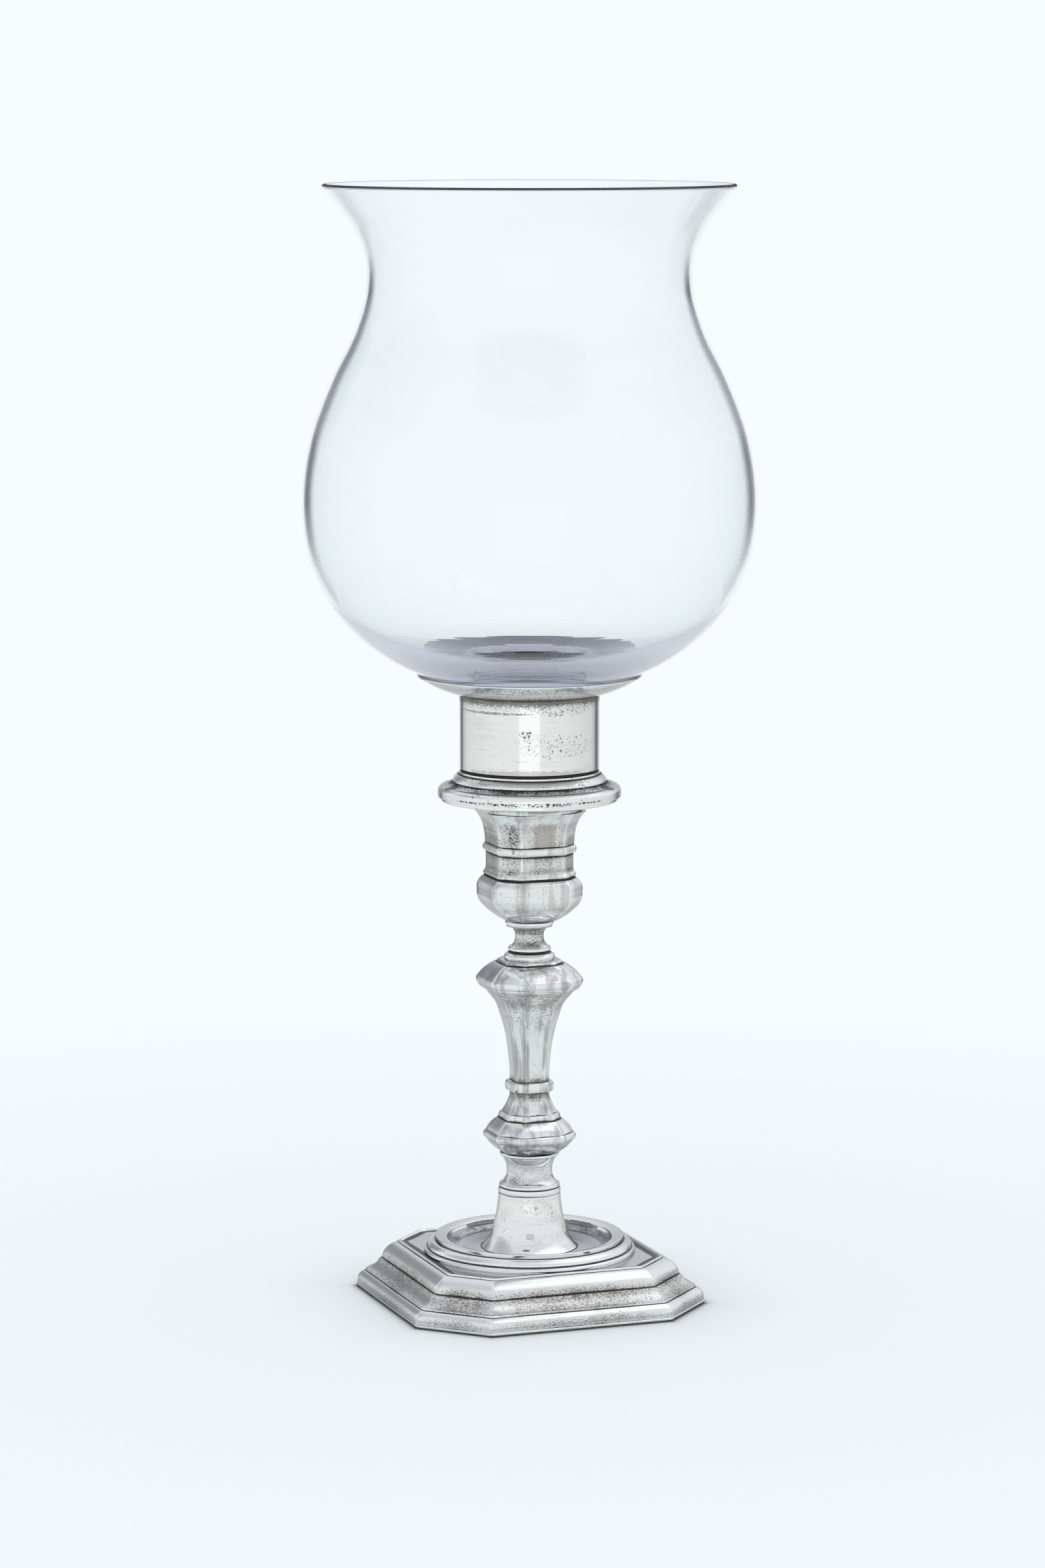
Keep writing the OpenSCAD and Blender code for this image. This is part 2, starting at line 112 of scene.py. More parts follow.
def eased(points, radius, closed=False, sharp=14, steps=5):
    """The same line with each corner sharper than sharp degrees rounded off. With A and C
    a set-back before and after the corner B, the curve is (1-u)^2 A + 2u(1-u) B + u^2 C,
    and one more point stands outside each end so that the sides keep their own shading."""
    if closed:
        middle = (points[:1] + points[1:2]) / 2
        points = np.vstack([middle, points[1:], points[:1], middle])
    at = distances(points)
    step = np.diff(points, axis=0)
    way = step / np.hypot(*step.T)[:, None]
    turn = np.arccos(np.clip((way[1:] * way[:-1]).sum(1), -1, 1))
    corner = 1 + np.flatnonzero(turn > math.radians(sharp))
    gaps = np.diff(np.concatenate([[0], at[corner], at[-1:]]))
    back = np.minimum(radius * np.tan(turn[corner - 1] / 2),
                      GREATEST_BACK * np.minimum(gaps[:-1], gaps[1:]))[:, None]
    centre = at[corner][:, None]
    u = np.linspace(0, 1, steps)[None, :, None]
    curve = ((1 - u) ** 2 * points_at(points, at, centre - back)
             + 2 * u * (1 - u) * points[corner][:, None]
             + u ** 2 * points_at(points, at, centre + back))
    curve_at = centre + back * (2 * u[..., 0] - 1)
    support_at = (centre + back * np.array([[-SUPPORT, SUPPORT]])).ravel()
    clear = (np.abs(at[:, None] - centre.T) > SUPPORT * back.T).all(1)
    places = np.concatenate([at[clear], curve_at.ravel(), support_at])
    line = np.vstack([points[clear], curve.reshape(-1, 2), points_at(points, at, support_at)])
    line = line[np.argsort(places, kind="stable")]
    return finely(line[:-1] if closed else line, closed=closed)


def drawn(rows, width, height, lift):
    """The rows stretched to a greatest half width and a height, and lifted into place."""
    rows = np.array(rows, float)
    return rows * [width / rows[:, 0].max(), height / rows[:, 1].max(), 1] + [0, lift, 0]


def flowing(keys, steps):
    """A curve through the key points. Each point's slope is the mean of the chords on its
    two sides, each weighted by the other's length, and between points runs the cubic that
    has those slopes: (2t^3-3t^2+1) P + (t^3-2t^2+t) d M + (3t^2-2t^3) Q + (t^3-t^2) d N."""
    keys = np.asarray(keys, float)
    chord = np.diff(keys, axis=0)
    d = np.hypot(chord[:, 0], chord[:, 1])[:, None]
    unit = chord / d
    inner = (unit[1:] * d[:-1] + unit[:-1] * d[1:]) / (d[:-1] + d[1:])
    slope = np.vstack([unit[:1], inner, unit[-1:]])
    t = np.linspace(0, 1, steps, endpoint=False)[None, :, None]
    p, q, m, n, d = keys[:-1, None], keys[1:, None], slope[:-1, None], slope[1:, None], d[:, None]
    curve = ((2 * t**3 - 3 * t**2 + 1) * p + (t**3 - 2 * t**2 + t) * d * m
             + (3 * t**2 - 2 * t**3) * q + (t**3 - t**2) * d * n)
    return np.vstack([curve.reshape(-1, 2), keys[-1:]])


def normals_of(line, closed=False):
    """The unit normals of a line, to the right of the way it runs."""
    if closed:
        way = np.roll(line, -1, 0) - np.roll(line, 1, 0)
    else:
        way = np.gradient(line, axis=0)
    normal = np.stack([way[:, 1], -way[:, 0]], 1)
    return normal / np.maximum(np.linalg.norm(normal, axis=1, keepdims=True), 1e-9)


def evenly(line, spacing):
    """Points at even distances along a line."""
    at = distances(line)
    return points_at(line, at, np.arange(0, at[-1], spacing))


def finely(line, spacing=0.45, closed=False):
    """The same line with points added at even distances along its long stretches."""
    if closed:
        line = np.vstack([line, line[:1]])
    at = distances(line)
    added = np.arange(spacing, at[-1], spacing)
    added = added[np.abs(added[:, None] - at[None, :]).min(1) > spacing * 0.4]
    fine = points_at(line, at, np.sort(np.concatenate([at, added])))
    return fine[:-1] if closed else fine


def recess(line, outline, reach, closed=False):
    """How deep each point of a line lies among its surroundings: the mean rise above it,
    along its normal, of the outline's points, each weighted by exp(-(distance / reach)^2),
    divided by the reach. It is above 0 in a hollow and below 0 on an edge."""
    away = outline[None, :, :] - line[:, None, :]
    weight = np.exp(-(away ** 2).sum(-1) / reach ** 2)
    rise = (away * normals_of(line, closed)[:, None, :]).sum(-1)
    return (weight * rise).sum(1) / np.maximum(weight.sum(1), 1e-9) / reach


# Surfaces

def round_rings(line, around=160):
    """The line carried round the axis: x = r cos a, y = r sin a, z = z, for even angles a."""
    a = np.linspace(0, 2 * np.pi, around, endpoint=False)
    r, z = line[:, :1], line[:, 1:]
    return np.stack([r * np.cos(a), r * np.sin(a), z + 0 * a], -1)


def along_side(per_side):
    """Where each angle of an eight-sided ring lies along its side: (1 - cos(pi u)) / 2."""
    return (1 - np.cos(np.pi * np.arange(per_side) / per_side)) / 2


def eight_sided_rings(line, wider, outward, arris, per_side=14):
    """The line carried round eight mitred sides. At width w the four flats lie at w and the
    four corners at c = w wider + outward. A point at angle a stands at the radius r for which
    the sum over the sides of (cos(a - its angle) r / its distance)^p is 1: the octagon, with
    each arris rounded off by about w ln 2 / p. The angles crowd towards the arrises."""
    w = np.maximum(line[:, 0], 1e-6)
    share = wider + outward / w
    half_flat = np.arctan2(math.sqrt(2) * share - 1, 1)[:, None]
    u = along_side(per_side)[None, :]
    quarter = np.hstack([-half_flat + 2 * half_flat * u,
                         half_flat + (np.pi / 2 - 2 * half_flat) * u])
    a = np.hstack([quarter + k * np.pi / 2 for k in range(4)])
    power = math.log(2) * w.max() / arris
    total = 0
    for k in range(8):
        distance = share[:, None] if k % 2 else 1
        total = total + (np.maximum(np.cos(a - k * np.pi / 4), 0) / distance) ** power
    r = w[:, None] * total ** (-1 / power)
    return np.stack([r * np.cos(a), r * np.sin(a), line[:, 1:] + 0 * a], -1)


def made_round(rings, line, chosen):
    """Puts the chosen rings on circles with the line's own radius."""
    a = np.arctan2(rings[..., 1], rings[..., 0])
    rings[chosen, :, 0] = (line[:, :1] * np.cos(a))[chosen]
    rings[chosen, :, 1] = (line[:, :1] * np.sin(a))[chosen]
    return rings


def skin(name, rings, closed, marks=None):
    """A mesh over rings of points. Neighbouring rings are joined by quads; a closed section
    joins its last ring to its first, and an open one gets a fan to a pole at each end.
    marks holds, for each named attribute, one value per ring or one per point."""
    rows, around = rings.shape[:2]
    points = rings.reshape(-1, 3)
    i = np.arange(rows if closed else rows - 1)[:, None]
    j = np.arange(around)[None, :]
    i2, j2 = (i + 1) % rows, (j + 1) % around
    corners = [i * around + j, i * around + j2, i2 * around + j2, i2 * around + j]
    faces = np.stack([c + 0 * corners[0] for c in corners], -1).reshape(-1, 4).tolist()
    if not closed:
        points = np.vstack([points, rings[0].mean(0), rings[-1].mean(0)])
        low, high, last = len(points) - 2, len(points) - 1, (rows - 1) * around
        j, j2 = j[0], j2[0]
        faces += np.stack([0 * j + low, j2, j], 1).tolist()
        faces += np.stack([0 * j + high, last + j, last + j2], 1).tolist()
    mesh = bpy.data.meshes.new(name)
    mesh.from_pydata((points * MM).tolist(), [], faces)
    mesh.polygons.foreach_set("use_smooth", np.ones(len(mesh.polygons), bool))
    for mark, values in (marks or {}).items():
        spread = (np.reshape(values, (rows, -1)) + np.zeros((rows, around))).ravel()
        if not closed:
            spread = np.concatenate([spread, spread[:1], spread[-1:]])
        layer = mesh.attributes.new(mark, "FLOAT", "POINT")
        layer.data.foreach_set("value", spread.astype(np.float32))
    mesh.update()
    piece = bpy.data.objects.new(name, mesh)
    bpy.context.scene.collection.objects.link(piece)
    return piece


def place(piece, body, node, material):
    """Puts a finished piece on its body, in the place of its node."""
    piece.data.materials.append(material)
    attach(piece, body)
    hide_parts(node)


# Shader nodes

class Graph:
    """Adds nodes to a shader tree. Inputs are given by name or number, and each is either a
    plain value or the output of another node."""

    def __init__(self, tree):
        self.tree = tree

    def add(self, kind, inputs=(), **settings):
        node = self.tree.nodes.new("ShaderNode" + kind)
        for setting, value in settings.items():
            setattr(node, setting, value)
        for socket, value in dict(inputs).items():
            if isinstance(value, bpy.types.NodeSocket):
                self.tree.links.new(value, node.inputs[socket])
            else:
                node.inputs[socket].default_value = value
        return node

    def math(self, operation, a, b=0.0):
        return self.add("Math", {0: a, 1: b}, operation=operation).outputs[0]

    def total(self, first, *others):
        for other in others:
            first = self.math("ADD", first, other)
        return first

    def times(self, first, *others):
        for other in others:
            first = self.math("MULTIPLY", first, other)
        return first

    def inverse(self, value):
        """1 less the value."""
        return self.math("SUBTRACT", 1.0, value)

    def vector_math(self, operation, a, b=(0.0, 0.0, 0.0)):
        return self.add("VectorMath", {0: a, 1: b}, operation=operation).outputs[0]

    def length(self, vector):
        return self.add("VectorMath", {0: vector}, operation="LENGTH").outputs["Value"]

    def parts(self, vector):
        """The x, y and z of a vector."""
        return self.add("SeparateXYZ", {0: vector}).outputs

    def turned(self, vector, angle):
        """The vector turned about the upright axis."""
        return self.add("VectorRotate", {"Vector": vector, "Angle": angle},
                        rotation_type="Z_AXIS").outputs[0]

    def noise(self, vector, scale, detail=2.0, roughness=0.5, distortion=0.0):
        return self.add("TexNoise", {"Vector": vector, "Scale": scale, "Detail": detail,
                                     "Roughness": roughness, "Distortion": distortion}).outputs[0]

    def ramp(self, value, low, high):
        """Rises smoothly from 0 at low to 1 at high."""
        return self.add("MapRange", {"Value": value, "From Min": low, "From Max": high},
                        interpolation_type="SMOOTHSTEP").outputs[0]

    def blend(self, factor, a, b):
        return self.add("Mix", {0: factor, 6: a, 7: b}, data_type="RGBA").outputs[2]

    def stretch(self, vector, scale):
        return self.add("Mapping", {"Vector": vector, "Scale": scale}).outputs[0]

    def mark(self, name):
        return self.add("Attribute", attribute_name=name).outputs["Fac"]

    def use(self, tree, inputs):
        return self.add("Group", inputs, node_tree=tree)


def emptied(owner):
    """A graph on the emptied node tree of a material or a world."""
    owner.use_nodes = True
    owner.node_tree.nodes.clear()
    return Graph(owner.node_tree)


def group(name, inputs, outputs, build):
    """A node group. build(graph, inputs) returns its outputs by name."""
    tree = bpy.data.node_groups.new(name, "ShaderNodeTree")
    for label, (kind, value) in inputs.items():
        socket = tree.interface.new_socket(label, in_out="INPUT", socket_type="NodeSocket" + kind)
        if value is not None:
            socket.default_value = value
    for label in outputs:
        tree.interface.new_socket(label, in_out="OUTPUT", socket_type="NodeSocketFloat")
    entry, leave = tree.nodes.new("NodeGroupInput"), tree.nodes.new("NodeGroupOutput")
    for label, socket in build(Graph(tree), entry.outputs).items():
        tree.links.new(socket, leave.inputs[label])
    return tree


RECESS_GAIN = 6.5


def build_tarnish(g, i):
    """Where tarnish stays, from the marks and two noises: a line along the creases, and in
    the recesses a haze, specks and a deep tone, with less of each on an arris."""
    flatter = g.stretch(i["Vector"], (1, 1, 1.8))
    cloud = g.math("SUBTRACT", g.noise(flatter, i["Cloud Scale"], 3.0, 0.6), 0.5)
    grain = g.math("SUBTRACT", g.noise(flatter, i["Grain Scale"], 3.0, 0.75), 0.5)
    wear = g.times(i["Arris"], 0.45)
    line = g.total(g.times(i["Crease"], i["Crease Gain"]), g.times(cloud, 0.5),
                   g.times(grain, 0.7), g.times(wear, -0.7))
    level = g.total(g.times(i["Recess"], i["Recess Gain"]), g.times(cloud, 0.8),
                    g.times(wear, -0.8))
    speck = g.total(level, g.times(grain, 4.6))
    deep = g.total(level, g.times(grain, 2.4))
    return {"Line": g.ramp(line, 0.24, 0.52), "Specks": g.ramp(speck, 0.58, 0.84),
            "Haze": g.ramp(level, 0.0, 0.8), "Deep": g.ramp(deep, 0.74, 1.1)}


tarnish_group = group(
    "tarnish_in_recesses",
    {"Vector": ("Vector", None), "Crease": ("Float", 0.0), "Recess": ("Float", 0.0),
     "Arris": ("Float", 0.0), "Crease Gain": ("Float", 4.5),
     "Recess Gain": ("Float", RECESS_GAIN), "Cloud Scale": ("Float", 110.0),
     "Grain Scale": ("Float", 1500.0)},
    ["Line", "Specks", "Haze", "Deep"], build_tarnish)


def build_pits(g, i):
    """Small round pits, with more of them in the clusters of a coarser noise."""
    grain = g.noise(i["Vector"], i["Scale"], 1.5, 0.6, 0.6)
    cluster = g.ramp(g.noise(i["Vector"], i["Cluster Scale"], 2.0), 0.5, 0.75)
    level = g.total(grain, g.times(cluster, i["Density"]))
    return {"Mask": g.ramp(level, 0.78, 0.84)}


pits_group = group(
    "casting_pits",
    {"Vector": ("Vector", None), "Scale": ("Float", 1500.0), "Cluster Scale": ("Float", 110.0),
     "Density": ("Float", 0.2)},
    ["Mask"], build_pits)


def build_turning(g, i):
    """Fine lines round the axis: a noise that changes quickly with the sum of the height
    and the distance from the axis, and slowly from side to side."""
    x, y, z = g.parts(i["Vector"])
    line = g.total(z, g.length(g.stretch(i["Vector"], (1, 1, 0))))
    drawn_out = g.add("CombineXYZ", {0: g.times(x, i["Sideways"]), 1: g.times(y, i["Sideways"]),
                                     2: g.times(line, i["Fineness"])})
    return {"Height": g.noise(drawn_out.outputs[0], 1.0, 4.0, 0.7)}


turning_group = group(
    "turning_marks",
    {"Vector": ("Vector", None), "Fineness": ("Float", 2600.0), "Sideways": ("Float", 22.0)},
    ["Height"], build_turning)


def build_patch(g, i):
    """A patch with the given radii round its centre, once turned to face it: round, or
    square in part, with a ragged edge."""
    moved = g.vector_math("SUBTRACT", i["Vector"], i["Centre"])
    sized = g.vector_math("DIVIDE", g.turned(moved, i["Turn"]), i["Radii"])
    x, _, z = g.parts(g.vector_math("ABSOLUTE", sized))
    away = g.total(g.times(g.math("MAXIMUM", x, z), i["Square"]),
                   g.times(g.length(sized), g.inverse(i["Square"])))
    ragged = g.math("SUBTRACT", g.noise(i["Vector"], i["Grain Scale"], 4.0, 0.65), 0.5)
    away = g.total(away, g.times(ragged, i["Ragged"]))
    return {"Mask": g.inverse(g.ramp(away, 0.8, 1.05))}


patch_group = group(
    "camera_patch",
    {"Vector": ("Vector", None), "Centre": ("Vector", None), "Radii": ("Vector", None),
     "Turn": ("Float", 0.0), "Square": ("Float", 0.0), "Ragged": ("Float", 0.8),
     "Grain Scale": ("Float", 500.0)},
    ["Mask"], build_patch)


# Silver and glass

BRIGHT_SILVER = (0.945, 0.968, 0.958, 1)
HAZY_SILVER = (0.61, 0.61, 0.59, 1)
BROWN_TARNISH = (0.23, 0.205, 0.185, 1)
# Painted light: a dark reflection towards the silhouettes, and grey shade in the creases
SILHOUETTE_REFLECTION_GREY = (0.12, 0.125, 0.13, 1)
CREASE_SHADE_GREY = (0.27, 0.265, 0.255, 1)
DEEP_TARNISH = (0.17, 0.155, 0.14, 1)
# Black for tarnish along the creases and in pits, and for painted shade in the vent hole
BLACK_TARNISH_AND_SHADE = (0.05, 0.045, 0.04, 1)


def silver(name, roughness=0.12, crease=5.5, recess_gain=RECESS_GAIN, pits=0.2, turning=0.0,
           wobble=0.02, haze=0.6, margin=0.0, marks=()):
    """Old polished silver. It is bright where it is rubbed, hazy and speckled brown where
    the recess attribute says that it lies low, darker where it lies deepest, with painted
    grey shade and then black tarnish along the creases, less so on the arrises, beside which
    margin paints grey shade too. Its silhouettes get a painted dark reflection. It has pits,
    turning marks and a slight waviness, whose heights are in millimetres. marks are functions
    of (graph, vector) that return a (mask, colour) pair."""
    material = bpy.data.materials.new(name)
    g = emptied(material)
    vector = g.add("TexCoord").outputs["Object"]
    tarnish = g.use(tarnish_group, {
        "Vector": vector, "Crease": g.mark("crease"), "Recess": g.mark("recess"),
        "Arris": g.mark("arris"), "Crease Gain": crease, "Recess Gain": recess_gain})
    pit = g.use(pits_group, {"Vector": vector, "Density": pits}).outputs[0]
    veil = g.times(tarnish.outputs["Haze"], haze)
    specks = g.times(tarnish.outputs["Specks"], 0.75)
    colour = g.blend(veil, BRIGHT_SILVER, HAZY_SILVER)
    colour = g.blend(specks, colour, BROWN_TARNISH)
    colour = g.blend(g.times(tarnish.outputs["Deep"], 0.8), colour, DEEP_TARNISH)
    # Painted grey shade along the creases, and with margin beside the arrises
    painted_shade = g.times(g.ramp(g.mark("crease"), 0.015, 0.15), min(0.65, crease * 0.1))
    if margin:
        arris = g.mark("arris")
        beside = g.times(g.ramp(arris, 0.3, 0.75), g.inverse(g.ramp(arris, 0.86, 0.95)))
        patchy = g.ramp(g.noise(g.stretch(vector, (1, 1, 0.5)), 240.0, 3.0, 0.6), 0.36, 0.62)
        painted_shade = g.math("MAXIMUM", painted_shade, g.times(beside, patchy, margin))
    colour = g.blend(painted_shade, colour, CREASE_SHADE_GREY)
    # A painted dark reflection towards the silhouettes
    facing = g.add("LayerWeight", {"Blend": 0.5}).outputs["Facing"]
    colour = g.blend(g.times(g.ramp(facing, 0.50, 0.92), 0.8), colour, SILHOUETTE_REFLECTION_GREY)
    dark = g.math("MAXIMUM", tarnish.outputs["Line"], pit)
    for mark in marks:
        mask, mark_colour = mark(g, vector)
        colour = g.blend(mask, colour, mark_colour)
        veil = g.math("MAXIMUM", veil, mask)
    colour = g.blend(g.times(dark, 0.92), colour, BLACK_TARNISH_AND_SHADE)
    grain = g.noise(vector, 1400.0, 3.0, 0.6)
    rough = g.total(roughness - 0.04, g.times(dark, 0.25), g.times(veil, 0.18),
                    g.times(specks, 0.15), g.times(grain, 0.08))
    height = g.total(g.times(g.noise(vector, 55.0, 2.0), wobble),
                     g.times(dark, -0.02), g.times(grain, 0.0012))
    if turning:
        lines = g.use(turning_group, {"Vector": vector}).outputs[0]
        height = g.total(height, g.times(lines, 0.004 * turning))
    bump = g.add("Bump", {"Height": height, "Distance": MM, "Strength": 1.0})
    shader = g.add("BsdfPrincipled", {"Base Color": colour, "Metallic": 1.0, "Roughness": rough,
                                      "Normal": bump.outputs[0]})
    g.add("OutputMaterial", {"Surface": shader.outputs[0]})
    return material


CLEAR_GLASS = (0.992, 0.999, 0.999, 1)
SILHOUETTE_SHADE_GLASS = (0.90, 0.94, 0.938, 1)
THICK_GLASS = (0.80, 0.81, 0.87, 1)
GRAZING_LINE_SHADE = (0.17, 0.175, 0.23, 1)
RIM_SHADE_BLACK = (0.03, 0.038, 0.04, 1)
THIN_VIOLET_GLOW = (0.60, 0.63, 0.70, 1)
THICK_VIOLET_GLOW = (0.27, 0.285, 0.36, 1)
GLASS_TINT = (0.45, 0.47, 0.56, 1)
GLASS_IOR = 1.48
# Layer Weight's facing where the eye grazes the inner wall, at which the painted dark line
# begins and ends, and the ray depth past which light is lost inside the wall and a painted
# violet glow stands in for it
LINE_BEGINS, LINE_ENDS = (0.240, 0.262), (0.266, 0.272)
LOST_DEPTH = 4.5


def glass(name):
    """Blown glass: clear where the wall is thin, with a painted grey shade towards its
    silhouettes, a painted dark line where the eye grazes the inner wall, a painted dark
    rim, violet through the thick base, and a painted violet glow where light runs on inside
    the wall."""
    material = bpy.data.materials.new(name)
    g = emptied(material)
    facing = g.add("LayerWeight", {"Blend": 0.5}).outputs["Facing"]
    backfacing = g.add("NewGeometry").outputs["Backfacing"]
    grazing = g.times(g.ramp(facing, *LINE_BEGINS), g.inverse(g.ramp(facing, *LINE_ENDS)))
    within = g.times(g.mark("inner_wall"), backfacing)
    rim = g.times(g.mark("rim"), g.inverse(backfacing))
    line = g.times(g.math("MAXIMUM", g.times(grazing, within), rim), 0.9)
    # A painted grey shade towards the silhouettes
    colour = g.blend(g.ramp(facing, 0.02, 0.9), CLEAR_GLASS, SILHOUETTE_SHADE_GLASS)
    colour = g.blend(g.mark("thick"), colour, THICK_GLASS)
    clear = g.add("BsdfPrincipled", {"Base Color": colour, "Metallic": 0.0, "Roughness": 0.0,
                                     "IOR": GLASS_IOR, "Transmission Weight": 1.0})
    dark = g.add("BsdfTransparent", {"Color": g.blend(rim, GRAZING_LINE_SHADE, RIM_SHADE_BLACK)})
    lined = g.add("MixShader", {0: line, 1: clear.outputs[0], 2: dark.outputs[0]})
    lost = g.math("GREATER_THAN", g.add("LightPath").outputs["Ray Depth"], LOST_DEPTH)
    # A painted violet glow stands in for light lost inside the wall
    violet_glow = g.add("Emission", {"Color": g.blend(g.mark("thick"), THIN_VIOLET_GLOW, THICK_VIOLET_GLOW)})
    mixed = g.add("MixShader", {0: lost, 1: lined.outputs[0], 2: violet_glow.outputs[0]})
    absorb = g.add("VolumeAbsorption", {"Color": GLASS_TINT, "Density": 1.5})
    g.add("OutputMaterial", {"Surface": mixed.outputs[0], "Volume": absorb.outputs[0]})
    return material


# Candlestick profiles

# The foot's rows: [in from its edge, up, bow] outside, and [in from its edge, up] inside
FOOT_INSET = [
    [0.25, 0, 0], [0, 0.4, 0], [0, 0.9, 0], [0.2, 1.1, 0], [0.2, 2.6, 0.16], [2.8, 5.6, 0],
    [2.9, 6.3, 0], [3.4, 6.4, -0.11], [7.3, 9.8, 0], [8, 10.1, 0], [8.1, 10.5, 0.165],
    [13.4, 15.7, 0], [13.5, 16.3, 0], [14.0, 16.3, 0], [14.6, 15.7, 0]]
UNDERSIDE_Z = 14
FOOT_HOLLOW = [[12.6, UNDERSIDE_Z], [10.3, 11.8], [9.3, 9.1], [5.9, 5.6], [1.7, 2.6], [1.7, 0]]
# How far from each corner of the square its cut starts, and how far in the moulding ends
FOOT_CUT = 20
PLATEAU_INSET = 14
foot_half = half_of("foot_plinth")
foot_corner_out = (2 * foot_half - FOOT_CUT) / math.sqrt(2) - foot_half
plateau_z = FOOT_INSET[-1][1]
well_r = 29.95
SOLDER_GAP = 0.05

# How grimy the foot's moulding is at each height, and its plain top at each radius
FOOT_GRIME = [(0, 0.1), (1.1, 0.1), (2, 0.74), (3.2, 0.6), (4.4, 0.15), (5.7, 0.1), (6.2, 0.75),
              (8, 0.62), (9.4, 0.8), (10.2, 0.9), (11.2, 0.78), (12.2, 0.52), (13.2, 0),
              (15.6, -0.2)]
PLATEAU_GRIME = [(35.9, 0.7), (36.6, 0.2), (38, -0.3)]
foot_outer = bowed([[foot_half - inset, up, bow] for inset, up, bow in FOOT_INSET])
foot_inner = np.array([[foot_half - inset, up] for inset, up in FOOT_HOLLOW])
foot_opening = [[well_r, plateau_z], [well_r, UNDERSIDE_Z]]
foot_line = eased(np.vstack([foot_outer, foot_opening, foot_inner]), 0.16, closed=True)

DISH_WALL = 1.6
dish_low = foot_of("stem_trumpet")
well_floor = dish_low + DISH_WALL
rim_z = top_of("well_dish")
skirt_z = foot_of("well_dish")
trumpet_r = half_of("stem_trumpet")
dish_hole_r = trumpet_r - 2.9
drum_r = well_r - SOLDER_GAP
dish_line = eased(bowed([
    [dish_hole_r, dish_low, 0], [drum_r - DISH_WALL, dish_low, 0],
    [drum_r - DISH_WALL, skirt_z, 0], [drum_r, skirt_z, 0], [drum_r, rim_z - 1.45, 0],
    [drum_r + 2.3, rim_z - 1.45, 0], [drum_r + 2.4, rim_z - 0.3, 0.3], [drum_r + 2.1, rim_z, 0],
    [drum_r + 1.8, rim_z - 0.1, 0.03], [drum_r - 1.2, rim_z - 0.6, 0.25],
    [drum_r - DISH_WALL, rim_z - 1.2, 0],
    [drum_r - 1.8, well_floor + 2.6, -0.2], [drum_r - 5.5, well_floor + 0.4, -0.03],
    [trumpet_r + 1, well_floor, 0], [dish_hole_r, well_floor, 0]]), 0.1, closed=True)
ring_top = top_of("well_ring")
ring_line = eased(bowed([
    [well_r, plateau_z, 0], [well_r + 6.1, plateau_z, 0.32], [well_r + 5.7, plateau_z + 1.5, 0],
    [well_r + 5.2, plateau_z + 1.6, 0.19], [well_r + 2.7, ring_top, 0], [well_r, ring_top, 0]]),
    0.1, closed=True)

# Each stem piece: its rows, and how far from each corner of the square its cut starts, as a
# share of the half width. 0 is a round piece.
STEM = {
    "trumpet_collar": ([[10.5, 0, 0.12], [10.5, 2, 0], [10.1, 2.15, 0.3], [9.9, 3.6, 0]], 0),
    "lower_spool": ([[9.9, 0, -0.12], [7.8, 3.6, -0.1], [9.6, 9.4, 0], [9.7, 9.5, 0.35],
                     [9.7, 10.9, 0]], 0),
    "lower_knop": ([[9.7, 0, 0.06], [13.8, 4.3, 0.3], [13.8, 7.1, 0.08], [10.4, 11.4, 0],
                    [10, 11.5, 0], [9.4, 13.6, 0], [9, 13.7, -0.05], [6.3, 19.3, -0.02],
                    [6.2, 21.1, 0]], 0.48),
    "baluster_band": ([[7.1, 0, 0], [7.4, 0.3, 0.05], [7.4, 3.1, 0], [7.1, 3.4, 0]], 0.45),
    "baluster": ([[6.1, 0, -0.02], [6.5, 9, -0.03], [9.4, 24, -0.07], [12.5, 29.9, -0.06],
                  [14.8, 32.3, 0]], 0.45),
    "shoulder_knop": ([[15.2, 0, 0.08], [16.2, 1.5, 0.2], [16.1, 4.3, 0.06], [11.4, 8.7, 0],
                       [10.5, 8.8, 0], [9.9, 9.7, 0], [9.6, 9.9, 0]], 0.45),
    "neck_rings": ([[8.2, 0, 0.3], [8.2, 2, 0], [7.4, 2.4, -0.1], [6.8, 2.9, 0], [6.8, 3, 0.4],
                    [6.7, 4.4, 0]], 0),
    "neck_spool": ([[7.1, 0, -0.16], [4.9, 2.8, -0.03], [4.9, 4.6, -0.17], [7.9, 7.1, 0]], 0),
    "neck_disc": ([[7.5, 0, 0.1], [8, 0.6, 0.2], [8, 2.2, 0]], 0),
    "candle_socket": ([[8.6, 0, 0.05], [13.9, 4.3, 0.12], [16.1, 10, 0.13], [14.5, 14.7, 0],
                       [13.9, 15, 0], [13.9, 15.4, 0], [14.15, 15.7, 0], [14.15, 16.3, -0.1],
                       [13.3, 18.7, 0], [13.35, 23.2, 0], [13.45, 23.3, 0.28], [13.5, 26.3, 0],
                       [13.6, 26.5, -0.03], [14, 30.9, -0.085], [17.4, 37.9, 0]], 0.42),
}
TRUMPET = [[16.6, 0, -0.08], [12.7, 6.8, -0.03], [10.65, 19, 0]]
base = top_of("stem_trumpet")
trumpet_outer = bowed(drawn(TRUMPET, trumpet_r, base - well_floor, well_floor))
stem_lines = {}
for node, (rows, _) in STEM.items():
    top = top_of(node)
    line = bowed(drawn(rows, max(row[0] for row in rows), top - base, base))
    stem_lines[node] = line * [half_of(node) / line[:, 0].max(), 1]
    base = top

# Carrier profiles

pan_r = half_of("carrier_flange")
pan_z = top_of("candle_socket") + SOLDER_GAP
flange_z = top_of("nozzle_pan")
cup_z = top_of("nozzle_tube")
cup_top = top_of("candle_cup")
cup_r = half_of("candle_cup")
cup_bore_r = 21.2
nozzle_r = half_of("nozzle_tube")
hole_r = nozzle_r + SOLDER_GAP
saucer_r = half_of("shade_saucer")

